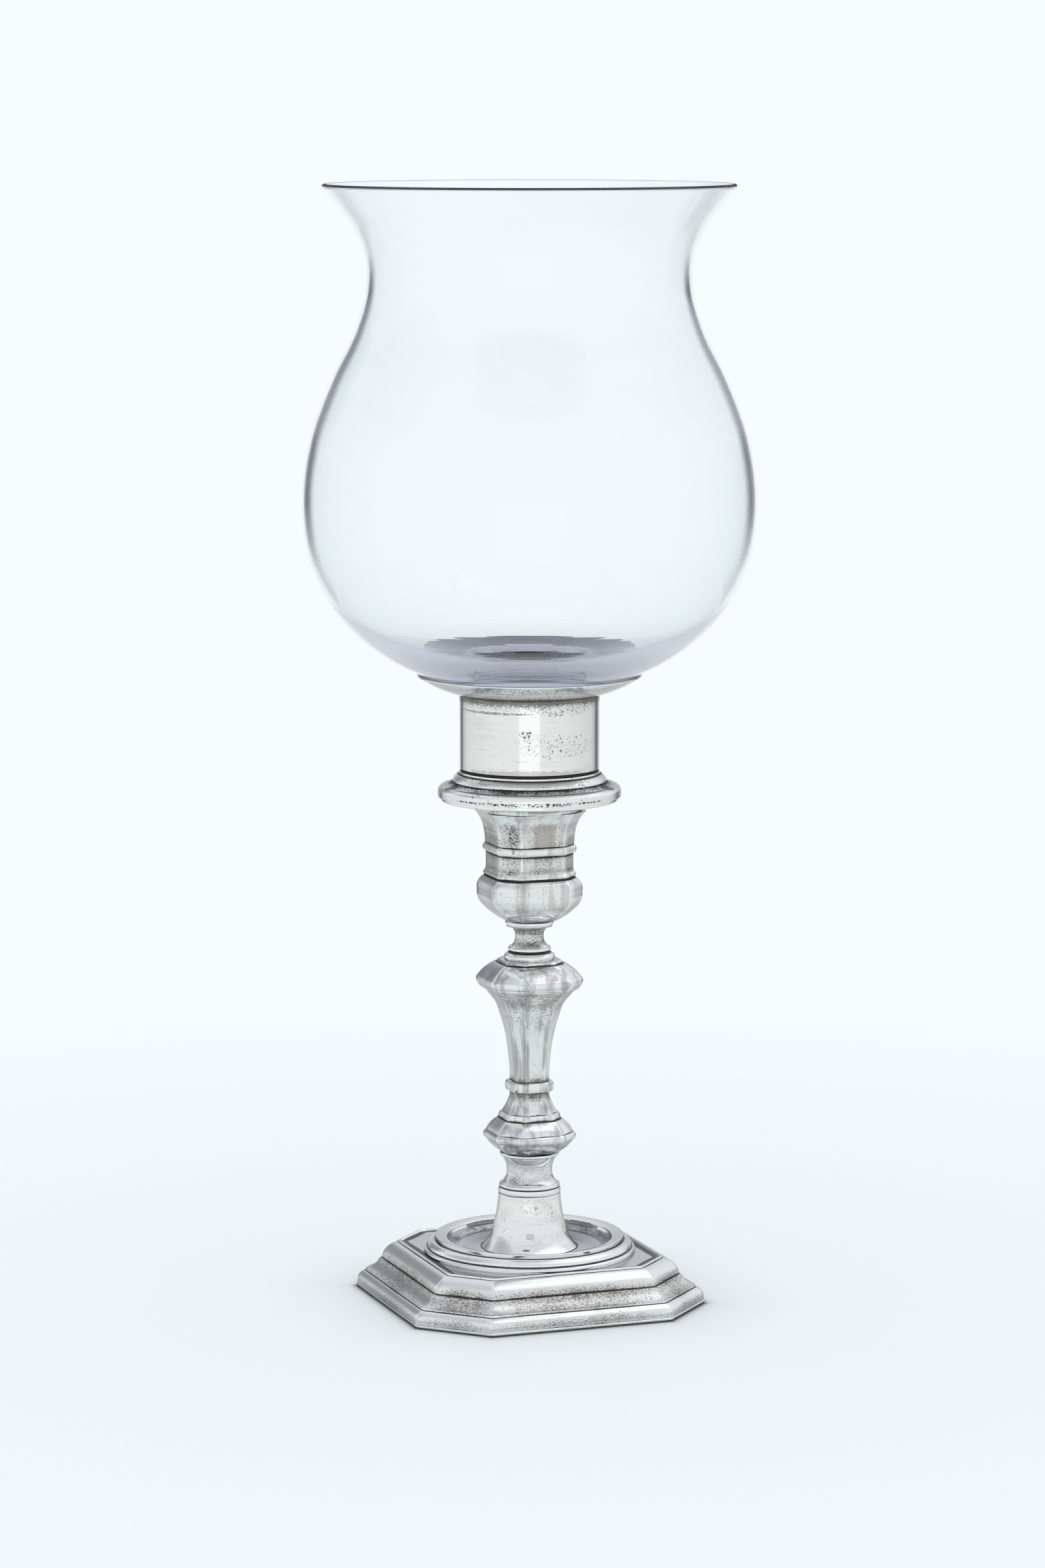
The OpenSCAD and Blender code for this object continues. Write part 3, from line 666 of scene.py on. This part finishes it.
pan_line = eased(bowed([
    [hole_r, pan_z, 0], [17.9, pan_z, 0], [18.2, pan_z + 0.4, -0.08], [23.5, pan_z + 3, 0],
    [pan_r - 1.8, pan_z + 3.2, 0.25], [pan_r - 1, flange_z - 0.7, 0], [pan_r - 1, flange_z, 0],
    [pan_r - 2.1, flange_z, 0], [pan_r - 2.1, pan_z + 4.4, 0], [23.2, pan_z + 4.2, 0.1],
    [17.2, pan_z + 1.3, 0], [16.9, pan_z + 1.2, 0], [hole_r, pan_z + 1.2, 0]]), 0.12, closed=True)
flange_line = eased(bowed([
    [pan_r - 2.2, flange_z + SOLDER_GAP, 0], [pan_r, flange_z + SOLDER_GAP, 0],
    [pan_r, flange_z + 1.9, 0.22], [pan_r - 2.1, flange_z + 3.75, -0.1],
    [cup_r + 2.5, flange_z + 5.2, 0.12], [cup_r + 0.5, cup_z - 1, -0.15], [cup_r + 0.1, cup_z, 0],
    [hole_r, cup_z, 0], [hole_r, cup_z - 1.4, 0], [cup_r - 1.2, cup_z - 1.4, 0],
    [cup_r + 1, flange_z + 4, 0], [pan_r - 3.3, flange_z + 2.6, 0],
    [pan_r - 2.2, flange_z + 1.4, 0]]), 0.12, closed=True)
cup_low = top_of("cup_floor") + SOLDER_GAP
cup_line = eased(bowed([
    [cup_bore_r, cup_low, 0], [cup_r - 0.35, cup_low, 0.2], [cup_r, cup_low + 0.35, 0],
    [cup_r, cup_top, 0], [cup_bore_r, cup_top, 0]]), 0.15, closed=True)
saucer_low = foot_of("shade_saucer")
saucer_line = eased(bowed([
    [cup_r + SOLDER_GAP, saucer_low, 0.05], [saucer_r, saucer_low + 6.1, 0.3],
    [saucer_r - 0.3, saucer_low + 6.6, 0], [saucer_r - 0.8, saucer_low + 6.55, -0.05],
    [cup_r + 1.55, cup_top, 0], [cup_r + SOLDER_GAP, cup_top, 0]]), 0.12, closed=True)

# The outline that the eye sees, from which every recess is measured
silver_outline = np.vstack([evenly(part, 0.1) for part in (
    foot_outer, np.array([foot_outer[-1], [well_r + 6, plateau_z]]),
    ring_line[: len(ring_line) * 3 // 4], dish_line, trumpet_outer, *stem_lines.values(),
    pan_line[: len(pan_line) // 2], flange_line[: len(flange_line) // 2],
    np.array([[cup_r, cup_z], [cup_r, saucer_low]]), saucer_line[: len(saucer_line) // 2])])
CREASE_REACH, RECESS_REACH = 0.7, 2.6


def marks_of(line, closed, per_side=0, shelter=0.0):
    """The crease and recess marks of each ring, and the closeness of each point to an
    arris where the rings are eight-sided. With shelter, what faces outward counts as
    lying deeper, and what faces up, where a cloth rubs, as less deep."""
    normal = normals_of(line, closed)
    marks = {"crease": recess(line, silver_outline, CREASE_REACH, closed),
             "recess": recess(line, silver_outline, RECESS_REACH, closed)
             + shelter * (normal[:, 0] - normal[:, 1]),
             "upper": normal[:, 1] > 0.5}
    if per_side:
        near = np.tile((2 * along_side(per_side) - 1) ** 2, 8)
        marks["arris"] = np.tile(near, (len(line), 1))
    return marks


# Silver finishes

def facing_camera(degrees, radius, z):
    """The point on a round of that radius and height, that many degrees to the right of
    where it faces the camera, in metres."""
    a = math.radians(CAMERA_TURN + degrees)
    return (radius * math.sin(a) * MM, -radius * math.cos(a) * MM, z * MM)


def camera_patch(degrees, radius, z, half_wide, half_high, colour, strength=1.0, **settings):
    """A patch on the side that faces the camera, as a mark for silver(). It serves for stains
    and for painted shade and reflections.
    """
    def mark(g, vector):
        mask = g.use(patch_group, {
            "Vector": vector, "Centre": facing_camera(degrees, radius, z),
            "Radii": (half_wide * MM, half_wide * MM, half_high * MM),
            "Turn": -math.radians(CAMERA_TURN + degrees), **settings}).outputs[0]
        return g.times(mask, strength), colour
    return mark


def hollow_inside(radius, low, colour, strength=1.0):
    """A mark on all that lies within a radius and above a height, for painted shade in a hollow.
    """
    def mark(g, vector):
        inside = g.math("LESS_THAN", g.length(g.stretch(vector, (1, 1, 0))), radius * MM)
        above = g.math("GREATER_THAN", g.parts(vector)[2], low * MM)
        return g.times(inside, above, strength), colour
    return mark


DARK = (0.07, 0.06, 0.055, 1)
KNOP_UNDERSIDE_DARK = (0.15, 0.14, 0.13, 1)
BROWN = (0.34, 0.30, 0.26, 1)
GREY = (0.50, 0.475, 0.44, 1)
DRAWN_GREY = (0.32, 0.33, 0.32, 1)
STREAK_BROWN = (0.60, 0.585, 0.55, 1)
# A painted window reflection
WINDOW_REFLECTION_GREY = (0.52, 0.52, 0.58, 1)
# Painted shade inside the well
WELL_SHADE_GREY = (0.50, 0.49, 0.55, 1)
# Painted shade on the metal that lies under the thick base of the glass, which looks darker
# through it
UNDER_GLASS_SHADE = (0.30, 0.30, 0.35, 1)
UNDER_GLASS_RIM_SHADE = (0.24, 0.24, 0.28, 1)
# Painted shade inside the cup and the nozzle
HOLLOW_SHADE = (0.17, 0.17, 0.19, 1)
trumpet_top = top_of("stem_trumpet")
knop_z = foot_of("lower_knop")
baluster_z = top_of("baluster_band")
shoulder_top = top_of("shoulder_knop")
socket_top = top_of("candle_socket")
saucer_top = top_of("shade_saucer")


def pitted(degrees, radius, z, half_wide, half_high, colour=DARK, low=0.54):
    """A patch of small pits on the side that faces the camera, as a mark for silver()."""
    patch = camera_patch(degrees, radius, z, half_wide, half_high, colour, Ragged=1.2)

    def mark(g, vector):
        mask, shown = patch(g, vector)
        grain = g.noise(vector, 1500.0, 2.0, 0.65, 0.6)
        return g.times(mask, g.ramp(grain, low, low + 0.05)), shown
    return mark


def streaks(g, vector):
    """Faint brownish streaks round the piece, as a mark for silver()."""
    mask = g.ramp(g.noise(g.stretch(vector, (1, 1, 13)), 70.0, 4.0, 0.7), 0.5, 0.75)
    return g.times(mask, 0.38), STREAK_BROWN


def drawn_lines(strength):
    """Upright grey streaks along the facets, as a mark for silver()."""
    def mark(g, vector):
        mask = g.ramp(g.noise(g.stretch(vector, (1, 1, 0.1)), 300.0, 3.0, 0.6), 0.45, 0.68)
        return g.times(mask, strength), DRAWN_GREY
    return mark


def on_top(colour, strength):
    """A mark on what faces up, from the upper attribute, for painted shade under the glass."""
    def mark(g, vector):
        return g.times(g.mark("upper"), strength), colour
    return mark


plinth_silver = silver("plinth_silver", roughness=0.17, pits=0.12)
# Painted shade: grey over the inside of the well, and dark low in its cove at both sides of the
# back
dish_silver = silver("dish_silver", roughness=0.1, recess_gain=3.0, turning=0.6, marks=(
    hollow_inside(drum_r - 1.9, 0, WELL_SHADE_GREY, 0.8),
    *[camera_patch(degrees, drum_r - 2, well_floor + 2.6, 9, 0.9, DARK, 0.75)
      for degrees in (-145, 140)]))
turned_silver = silver("turned_silver", roughness=0.13, recess_gain=3.5, turning=1.2,
                       haze=0.7, marks=(
    streaks,
    # A painted reflection of a window on the trumpet's front
    camera_patch(1, 13, well_floor + 6, 1.6, 1.1, WINDOW_REFLECTION_GREY, 0.6, Square=0.8, Ragged=0.6),
    camera_patch(-4, 15, well_floor + 1.7, 1.4, 0.35, DARK, 0.75),
    pitted(14, 11, trumpet_top - 3, 6, 3, GREY, 0.56)))
knop_silver = silver("knop_silver", roughness=0.13, wobble=0.05, margin=0.6, marks=(
    # A black spot painted for the shade inside the air vent of the hollow knop
    camera_patch(65, 11.9, shoulder_top - 1.4, 1.0, 1.2, BLACK_TARNISH_AND_SHADE, Ragged=0.1),
    camera_patch(-14, 13.8, shoulder_top - 5.0, 3.4, 1.8, GREY, 0.5, Ragged=0.5),
    camera_patch(30, 13.8, shoulder_top - 5.0, 3.4, 1.8, GREY, 0.45, Ragged=0.5),
    drawn_lines(0.65),
    # Dark patches on the lower knop's underside
    camera_patch(-14, 12.2, knop_z + 2.6, 1.8, 1.6, KNOP_UNDERSIDE_DARK, 0.8, Ragged=2.2),
    camera_patch(21, 12.2, knop_z + 2.4, 6.0, 1.1, KNOP_UNDERSIDE_DARK, 0.8, Ragged=2.2),
    camera_patch(60, 12.6, knop_z + 4.0, 3.0, 0.8, KNOP_UNDERSIDE_DARK, 0.8, Ragged=2.2),
    pitted(0, 8, baluster_z + 27, 14, 7, GREY, 0.55)))
socket_silver = silver("socket_silver", roughness=0.14, wobble=0.05, margin=0.35, marks=(
    pitted(-19, 15.5, socket_top - 8.0, 2.0, 5.6, DARK, 0.50),
    camera_patch(22, 15.5, socket_top - 7.8, 4.0, 4.4, GREY, 0.85, Square=1.0, Ragged=0.3),
    drawn_lines(0.45),
    pitted(0, 14, socket_top - 29, 14, 4, GREY, 0.60)))
cup_silver = silver("cup_silver", roughness=0.09, crease=2.5, turning=1.0, haze=0.3,
                    pits=0.1, marks=(
    streaks,
    pitted(-35, cup_r, cup_top - 5.4, 17, 0.45, BROWN, 0.44),
    pitted(28, cup_r, cup_top - 4.6, 13, 1.8, BROWN, 0.56),
    pitted(-3, cup_r, cup_top - 12.6, 2.2, 2.0, DARK, 0.53),
    pitted(25, cup_r, cup_top - 16.5, 14, 4.5, DARK, 0.60),
    camera_patch(0, cup_r, cup_z + 1.5, 22, 1.2, GREY, 0.6, Ragged=1.5),
    hollow_inside(cup_bore_r + 0.4, 0, HOLLOW_SHADE),
    on_top(UNDER_GLASS_RIM_SHADE, 0.9)))
saucer_silver = silver("saucer_silver", roughness=0.14, crease=2.0, marks=(
    on_top(UNDER_GLASS_SHADE, 1.0),
    streaks,
    pitted(0, saucer_r - 2, saucer_top - 2.2, 34, 1.3, BROWN, 0.52)))
rim_silver = silver("rim_silver", roughness=0.2, pits=0.24, crease=6.5, marks=(
    camera_patch(0, cup_r + 1.2, cup_z - 1.7, 22, 0.9, BROWN, 0.6, Ragged=1.4),
    # Painted dark reflections on the flange, placed alike on both sides
    *[camera_patch(degrees, pan_r - 2.2, cup_z - 4.2, 3.6, 1.3, DARK, 0.9, Ragged=0.3)
      for degrees in (-68, 68)],
    pitted(0, pan_r, flange_z + 0.9, 30, 0.6, DARK, 0.49)))
dull_silver = silver("dull_silver", roughness=0.25, haze=0.8, marks=(
    hollow_inside(cup_bore_r + 3, cup_z, HOLLOW_SHADE),))
shade_glass = glass("shade_glass")

# Candlestick pieces

def place_round(name, body, node, finish, line, around=160, closed=True):
    """Puts a round piece, its line carried round the axis, in the place of its node."""
    place(skin(name, round_rings(line, around), closed, marks_of(line, closed)),
          body, node, finish)


FOOT_PER_SIDE = 18
foot_rings = eight_sided_rings(foot_line, 1, foot_corner_out, 0.22, FOOT_PER_SIDE)
foot_rings = made_round(foot_rings, foot_line, foot_line[:, 0] <= well_r + 0.3)
foot_marks = marks_of(foot_line, True, FOOT_PER_SIDE)
on_plateau = foot_line[:, 0] < foot_half - PLATEAU_INSET
from_axis = np.hypot(foot_rings[..., 0], foot_rings[..., 1])
# The grime is a finished level, so it is divided by the gain that silver() gives it
foot_marks["recess"] = np.where(
    on_plateau[:, None], np.interp(from_axis, *zip(*PLATEAU_GRIME)),
    np.interp(foot_line[:, 1:], *zip(*FOOT_GRIME))) / RECESS_GAIN
place(skin("plinth", foot_rings, True, foot_marks),
      "candlestick", "foot_plinth", plinth_silver)
place_round("dish", "candlestick", "well_dish", dish_silver, dish_line)
place_round("ring", "candlestick", "well_ring", turned_silver, ring_line)

spigot_r = trumpet_r - 2.95
spigot_bore_r = trumpet_r - 4.45
trumpet_inner = np.array([[9.2, trumpet_outer[-1, 1] - 2.4], [11, well_floor + 9],
                          [spigot_bore_r, well_floor + 2], [spigot_bore_r, dish_low],
                          [spigot_r, dish_low], [spigot_r, well_floor]])
trumpet_line = eased(np.vstack([trumpet_inner, trumpet_outer]), 0.15)
place_round("trumpet", "candlestick", "stem_trumpet", turned_silver,
            trumpet_line, closed=False)

STEM_PER_SIDE = 14
STEM_ARRIS = {"lower_knop": 0.4, "shoulder_knop": 0.45, "candle_socket": 0.3}
SLIGHT_ARRIS = 0.15
SOCKET_SHELTER = 0.04
# The socket's bore, and the duct below it through the socket's solid foot
SOCKET_DEPTH, BORE_R, DUCT_R, SOCKET_FOOT_H = 30, 11.0, 2.6, 3
for node, line in stem_lines.items():
    cut = STEM[node][1]
    closed = node == "candle_socket"
    if closed:
        mouth_z, low_z = line[-1, 1], line[0, 1]
        floor_z = mouth_z - SOCKET_DEPTH
        line = np.vstack([line, [[BORE_R, mouth_z], [BORE_R, floor_z], [DUCT_R, floor_z],
                                 [DUCT_R, low_z]]])
    line = eased(line, 0.2, closed=closed)
    if cut:
        rings = eight_sided_rings(line, (2 - cut) / math.sqrt(2), 0,
                                  STEM_ARRIS.get(node, SLIGHT_ARRIS), STEM_PER_SIDE)
        above_foot = line[:, 1] > line[:, 1].min() + SOCKET_FOOT_H
        rings = made_round(rings, line, closed & (line[:, 0] <= BORE_R + 0.3) & above_foot)
        finish = socket_silver if closed else knop_silver
    else:
        rings = round_rings(line, 96)
        finish = turned_silver
    marks = marks_of(line, closed, STEM_PER_SIDE if cut else 0, SOCKET_SHELTER if closed else 0)
    place(skin(node.replace("_", "-"), rings, closed, marks),
          "candlestick", node, finish)

# Carrier pieces

for name, node, slot, finish, line in (
        ("pan", "nozzle_pan", "tarnished_silver", turned_silver, pan_line),
        ("flange", "carrier_flange", "polished_silver", rim_silver, flange_line),
        ("cup", "candle_cup", "polished_silver", cup_silver, cup_line),
        ("saucer", "shade_saucer", "polished_silver", saucer_silver, saucer_line)):
    place_round(name, "shade_carrier", node, finish, line, 192)
nozzle_low = foot_of("nozzle_tube")
nozzle_bore_r = nozzle_r - 1.2
nozzle_line = eased(np.array([[nozzle_bore_r, nozzle_low], [nozzle_r, nozzle_low],
                              [nozzle_r, cup_z], [nozzle_bore_r, cup_z]]), 0.3, closed=True)
place_round("nozzle", "shade_carrier", "nozzle_tube", dull_silver,
            nozzle_line, 96)
floor_low, floor_top = foot_of("cup_floor"), top_of("cup_floor")
cup_floor_r = half_of("cup_floor")
cup_floor_line = eased(np.array([[0.01, floor_low], [cup_floor_r, floor_low],
                                 [cup_floor_r, floor_top], [0.01, floor_top]]), 0.15)
place_round("cup-base", "shade_carrier", "cup_floor", dull_silver,
            cup_floor_line, 96, closed=False)

# Glass shade

SHADE_KEYS = [
    [25.2, 0.05], [27, 0.6], [31, 2.4], [37.8, 5.8], [47.2, 10.6], [58, 18.7], [67.3, 29.5],
    [74, 43.2], [76.9, 61.4], [74.6, 83.5], [67, 105], [58.7, 122.4], [55, 136.4],
    [55.2, 146.2], [58.4, 154.6], [63.9, 162.5], [69.3, 169.6]]
SHADE_WALL, SHADE_BASE_EXTRA, THICK_BASE_H = 1.8, 4.2, 32
RIM_RISE, RIM_BOW = 1.3, 0.4
# The shade's mouth stands this far below the solid's, as it does in the photograph
MOUTH_DROP = 1
# Up the shade: where the painted line on the inner wall fades in and out, the painted dark
# band of the rim below the mouth, and the violet of the base
LINE_UP, LINE_SHOWN = [42, 64, 136, 148], [0, 1, 1, 0]
RIM_BAND, VIOLET_H = 0.9, 14
shade_hole_r = 21.6
shade_z = foot_of("glass_shade")
wider = half_of("glass_shade") / max(across for across, _ in SHADE_KEYS)
taller = (top_of("glass_shade") - shade_z - MOUTH_DROP) / (SHADE_KEYS[-1][1] + RIM_RISE)
shade_outer = flowing(np.array(SHADE_KEYS) * [wider, taller], 10)
base_share = np.maximum(0, 1 - shade_outer[:, 1] / THICK_BASE_H)
thickness = SHADE_WALL + SHADE_BASE_EXTRA * base_share ** 2
shade_inner = (shade_outer - normals_of(shade_outer) * thickness[:, None])[::-1]
shade_rim = bowed([[*shade_outer[-1], RIM_BOW], [*shade_inner[0], 0]])
shade_inner = shade_inner[shade_inner[:, 0] > shade_hole_r + 0.8]
shade_line = eased(np.vstack([
    [[shade_hole_r, 0]], shade_outer[:-1], shade_rim, shade_inner[1:],
    [[shade_hole_r, shade_inner[-1, 1]]]]) + [0, shade_z], 0.8, closed=True, sharp=25, steps=8)
outward = normals_of(shade_line, True)[:, 0]
up = shade_line[:, 1] - shade_z
place(skin("shade", round_rings(shade_line, 256), True,
           {"inner_wall": (outward < 0) * np.interp(up, LINE_UP, LINE_SHOWN),
            "rim": (outward > -0.3) * (up > up.max() - RIM_BAND),
            "thick": np.clip(1 - up / VIOLET_H, 0, 1)}),
      "shade", "glass_shade", shade_glass)

# Studio: the floor, the light and the camera

BACKDROP = (0.925, 0.972, 1.0, 1)
PAPER = (0.88, 0.942, 0.972, 1)
LIT_PAPER = (0.945, 0.98, 0.995, 1)
SHADOW = (0.03, 0.032, 0.035, 1)
# The paper that mirrors see: painted shade in a pool near the lamp, paler further out, in metres
POOL_NEAR = (0.36, 0.365, 0.365, 1)
POOL_FAR = (0.78, 0.80, 0.80, 1)
POOL_R = (0.05, 0.42)
FADE_FROM, FLOOR_R = 0.1, 0.62
FLOOR_HUB_R, FLOOR_RINGS, FLOOR_AROUND = 0.05, 12, 96
FLOOR_DROP = 0.0002
# A painted shadow: the dark line where the foot meets the paper and the soft shade round
# it, how far each reaches, in millimetres, and how dark it is
LINE_REACH, LINE_DARK = 1.1, 0.78
SOFT_REACH, SOFT_DARK = 14, 0.13


def floor_paper():
    """Pale paper that partly glows, and at its edge wholly, in the backdrop's colour. Round
    the foot a painted shadow darkens it by exp(-distance / reach)."""
    material = bpy.data.materials.new("floor_paper")
    g = emptied(material)
    vector = g.add("TexCoord").outputs["Object"]
    away = g.length(vector)
    fade = g.ramp(away, FADE_FROM, FLOOR_R)
    x, y, _ = g.parts(g.vector_math("ABSOLUTE", vector))
    corner = g.math("SUBTRACT", g.times(g.total(x, y), math.sqrt(0.5)),
                    (foot_half + foot_corner_out) * MM)
    flat = g.math("SUBTRACT", g.math("MAXIMUM", x, y), foot_half * MM)
    beyond = g.math("MAXIMUM", g.math("MAXIMUM", flat, corner), 0.0)
    close = g.math("EXPONENT", g.times(beyond, -1 / (LINE_REACH * MM)))
    near = g.math("EXPONENT", g.times(beyond, -1 / (SOFT_REACH * MM)))
    # The painted shadow round the foot
    shade = g.total(g.times(close, LINE_DARK), g.times(near, SOFT_DARK))
    mirrored = g.add("LightPath").outputs["Is Glossy Ray"]
    # Painted shade in the pool round the lamp, for mirrors only
    pool = g.blend(g.ramp(away, *POOL_R), POOL_NEAR, POOL_FAR)
    open_paper = g.blend(mirrored, g.blend(fade, PAPER, BACKDROP), pool)
    glowing = g.add("Emission", {"Color": g.blend(shade, open_paper, SHADOW), "Strength": 1.0})
    lit = g.add("BsdfDiffuse", {"Color": g.blend(shade, LIT_PAPER, SHADOW)})
    mixed = g.add("MixShader", {0: g.total(0.35, g.times(fade, 0.65)),
                                1: lit.outputs[0], 2: glowing.outputs[0]})
    g.add("OutputMaterial", {"Surface": mixed.outputs[0]})
    return material


def paper_floor():
    """A round sheet under the lamp: rings of points x = r cos a, y = r sin a, joined by
    quads, with one round face in the middle. It takes the lamp's shadow and a painted one,
    and fades into the plain backdrop at its edge. Mirrors see a pool of painted shade on it
    round the lamp."""
    mesh = bpy.data.meshes.new("paper_floor")
    r = np.linspace(FLOOR_HUB_R, FLOOR_R, FLOOR_RINGS)[:, None]
    a = np.linspace(0, 2 * np.pi, FLOOR_AROUND, endpoint=False)[None]
    points = np.stack([r * np.cos(a), r * np.sin(a), 0 * r * a - FLOOR_DROP], -1).reshape(-1, 3)
    i = np.arange(FLOOR_RINGS - 1)[:, None] * FLOOR_AROUND
    j = np.arange(FLOOR_AROUND)[None]
    j2 = (j + 1) % FLOOR_AROUND
    quads = np.stack([i + j, i + FLOOR_AROUND + j, i + FLOOR_AROUND + j2, i + j2], -1)
    faces = quads.reshape(-1, 4).tolist() + [list(range(FLOOR_AROUND))]
    mesh.from_pydata(points.tolist(), [], faces)
    mesh.materials.append(floor_paper())
    floor = bpy.data.objects.new("paper_floor", mesh)
    bpy.context.scene.collection.objects.link(floor)


paper_floor()

# The room that mirrors see. Bearings are in degrees, 0 towards the camera and positive to
# its right, each with its brightness.
ROOM_BANDS = [
    (-180, 1.04), (-164, 1.0), (-157, 0.7), (-152, 0.2), (-146, 0.2), (-141, 0.62),
    (-126, 0.72), (-60, 0.83), (-18, 0.84), (-16, 1.02), (16, 1.02), (18, 0.84), (60, 0.80),
    (90, 0.74), (126, 0.66), (136, 0.5), (142, 0.2), (149, 0.2), (156, 0.8), (164, 1.0),
    (180, 1.04)]
BAND_TINT = (0.975, 1, 0.995)
WALL = (0.80, 0.81, 0.84, 1)
CEILING = (0.70, 0.705, 0.74, 1)
EVEN_LIGHT = (0.93, 0.95, 0.96, 1)
# How far up a ray points where the wall and then the ceiling take over
WALL_FROM, CEILING_FROM = (0.03, 0.12), (0.45, 0.8)
# Soft patches of light and shade: their direction, with the camera on the side of -Y, the
# cosines between which they fade in, and their brightness
ROOM_PATCHES = [
    ((-0.52, 0.79, 0.33), 0.94, 1.0, (0.30, 0.305, 0.33, 1)),
    ((-0.75, 0.1, 0.65), 0.84, 1.0, (0.46, 0.465, 0.50, 1)),
    ((0.40, 0.15, 0.90), 0.80, 0.92, (1.04, 1.05, 1.07, 1))]


def studio_world():
    """Even light for dull surfaces. Mirrors see a white wall behind the lamp with a dark
    edge at each side, a pale room, white paper towards the camera, and a grey ceiling with
    a soft light to the right and shade to the left."""
    world = bpy.data.worlds.new("studio")
    bpy.context.scene.world = world
    g = emptied(world)
    way = g.turned(g.add("TexCoord").outputs["Generated"], -math.radians(CAMERA_TURN))
    x, y, up = g.parts(way)
    bearing = g.math("ARCTAN2", x, g.times(y, -1.0))
    ramp = g.add("ValToRGB", {0: g.total(g.math("DIVIDE", bearing, 2 * math.pi), 0.5)})
    bands = ramp.color_ramp.elements
    while len(bands) < len(ROOM_BANDS):
        bands.new(0.5)
    for band, (degrees, level) in zip(bands, ROOM_BANDS):
        band.position = degrees / 360 + 0.5
        band.color = (*(level * tint for tint in BAND_TINT), 1)
    room = g.blend(g.ramp(up, *WALL_FROM), ramp.outputs[0], WALL)
    room = g.blend(g.ramp(up, *CEILING_FROM), room, CEILING)
    for toward, low, high, colour in ROOM_PATCHES:
        closeness = g.add("VectorMath", {0: way, 1: toward}, operation="DOT_PRODUCT")
        room = g.blend(g.ramp(closeness.outputs["Value"], low, high), room, colour)
    rays = g.add("LightPath")
    seen = g.math("MAXIMUM", rays.outputs["Is Camera Ray"], rays.outputs["Is Transmission Ray"])
    light = g.blend(rays.outputs["Is Glossy Ray"], EVEN_LIGHT, room)
    background = g.add("Background", {"Color": g.blend(seen, light, BACKDROP), "Strength": 1.0})
    g.add("OutputWorld", {"Surface": background.outputs[0]})


studio_world()


def set_camera():
    """The photograph's view: level with the shade, a little to the left of the front."""
    turn = math.radians(CAMERA_TURN)
    camera = bpy.data.cameras.new("view")
    camera.sensor_width = SENSOR
    camera.lens = FOCAL_PX / PHOTO_HEIGHT_PX * SENSOR
    holder = bpy.data.objects.new("view", camera)
    bpy.context.scene.collection.objects.link(holder)
    holder.location = (math.sin(turn) * CAMERA_DISTANCE + math.cos(turn) * CAMERA_SIDE,
                       -math.cos(turn) * CAMERA_DISTANCE + math.sin(turn) * CAMERA_SIDE,
                       CAMERA_HEIGHT)
    holder.rotation_euler = (math.radians(90 - CAMERA_PITCH), 0, turn)
    bpy.context.scene.camera = holder


set_camera()
bpy.context.scene.view_settings.view_transform = "Standard"
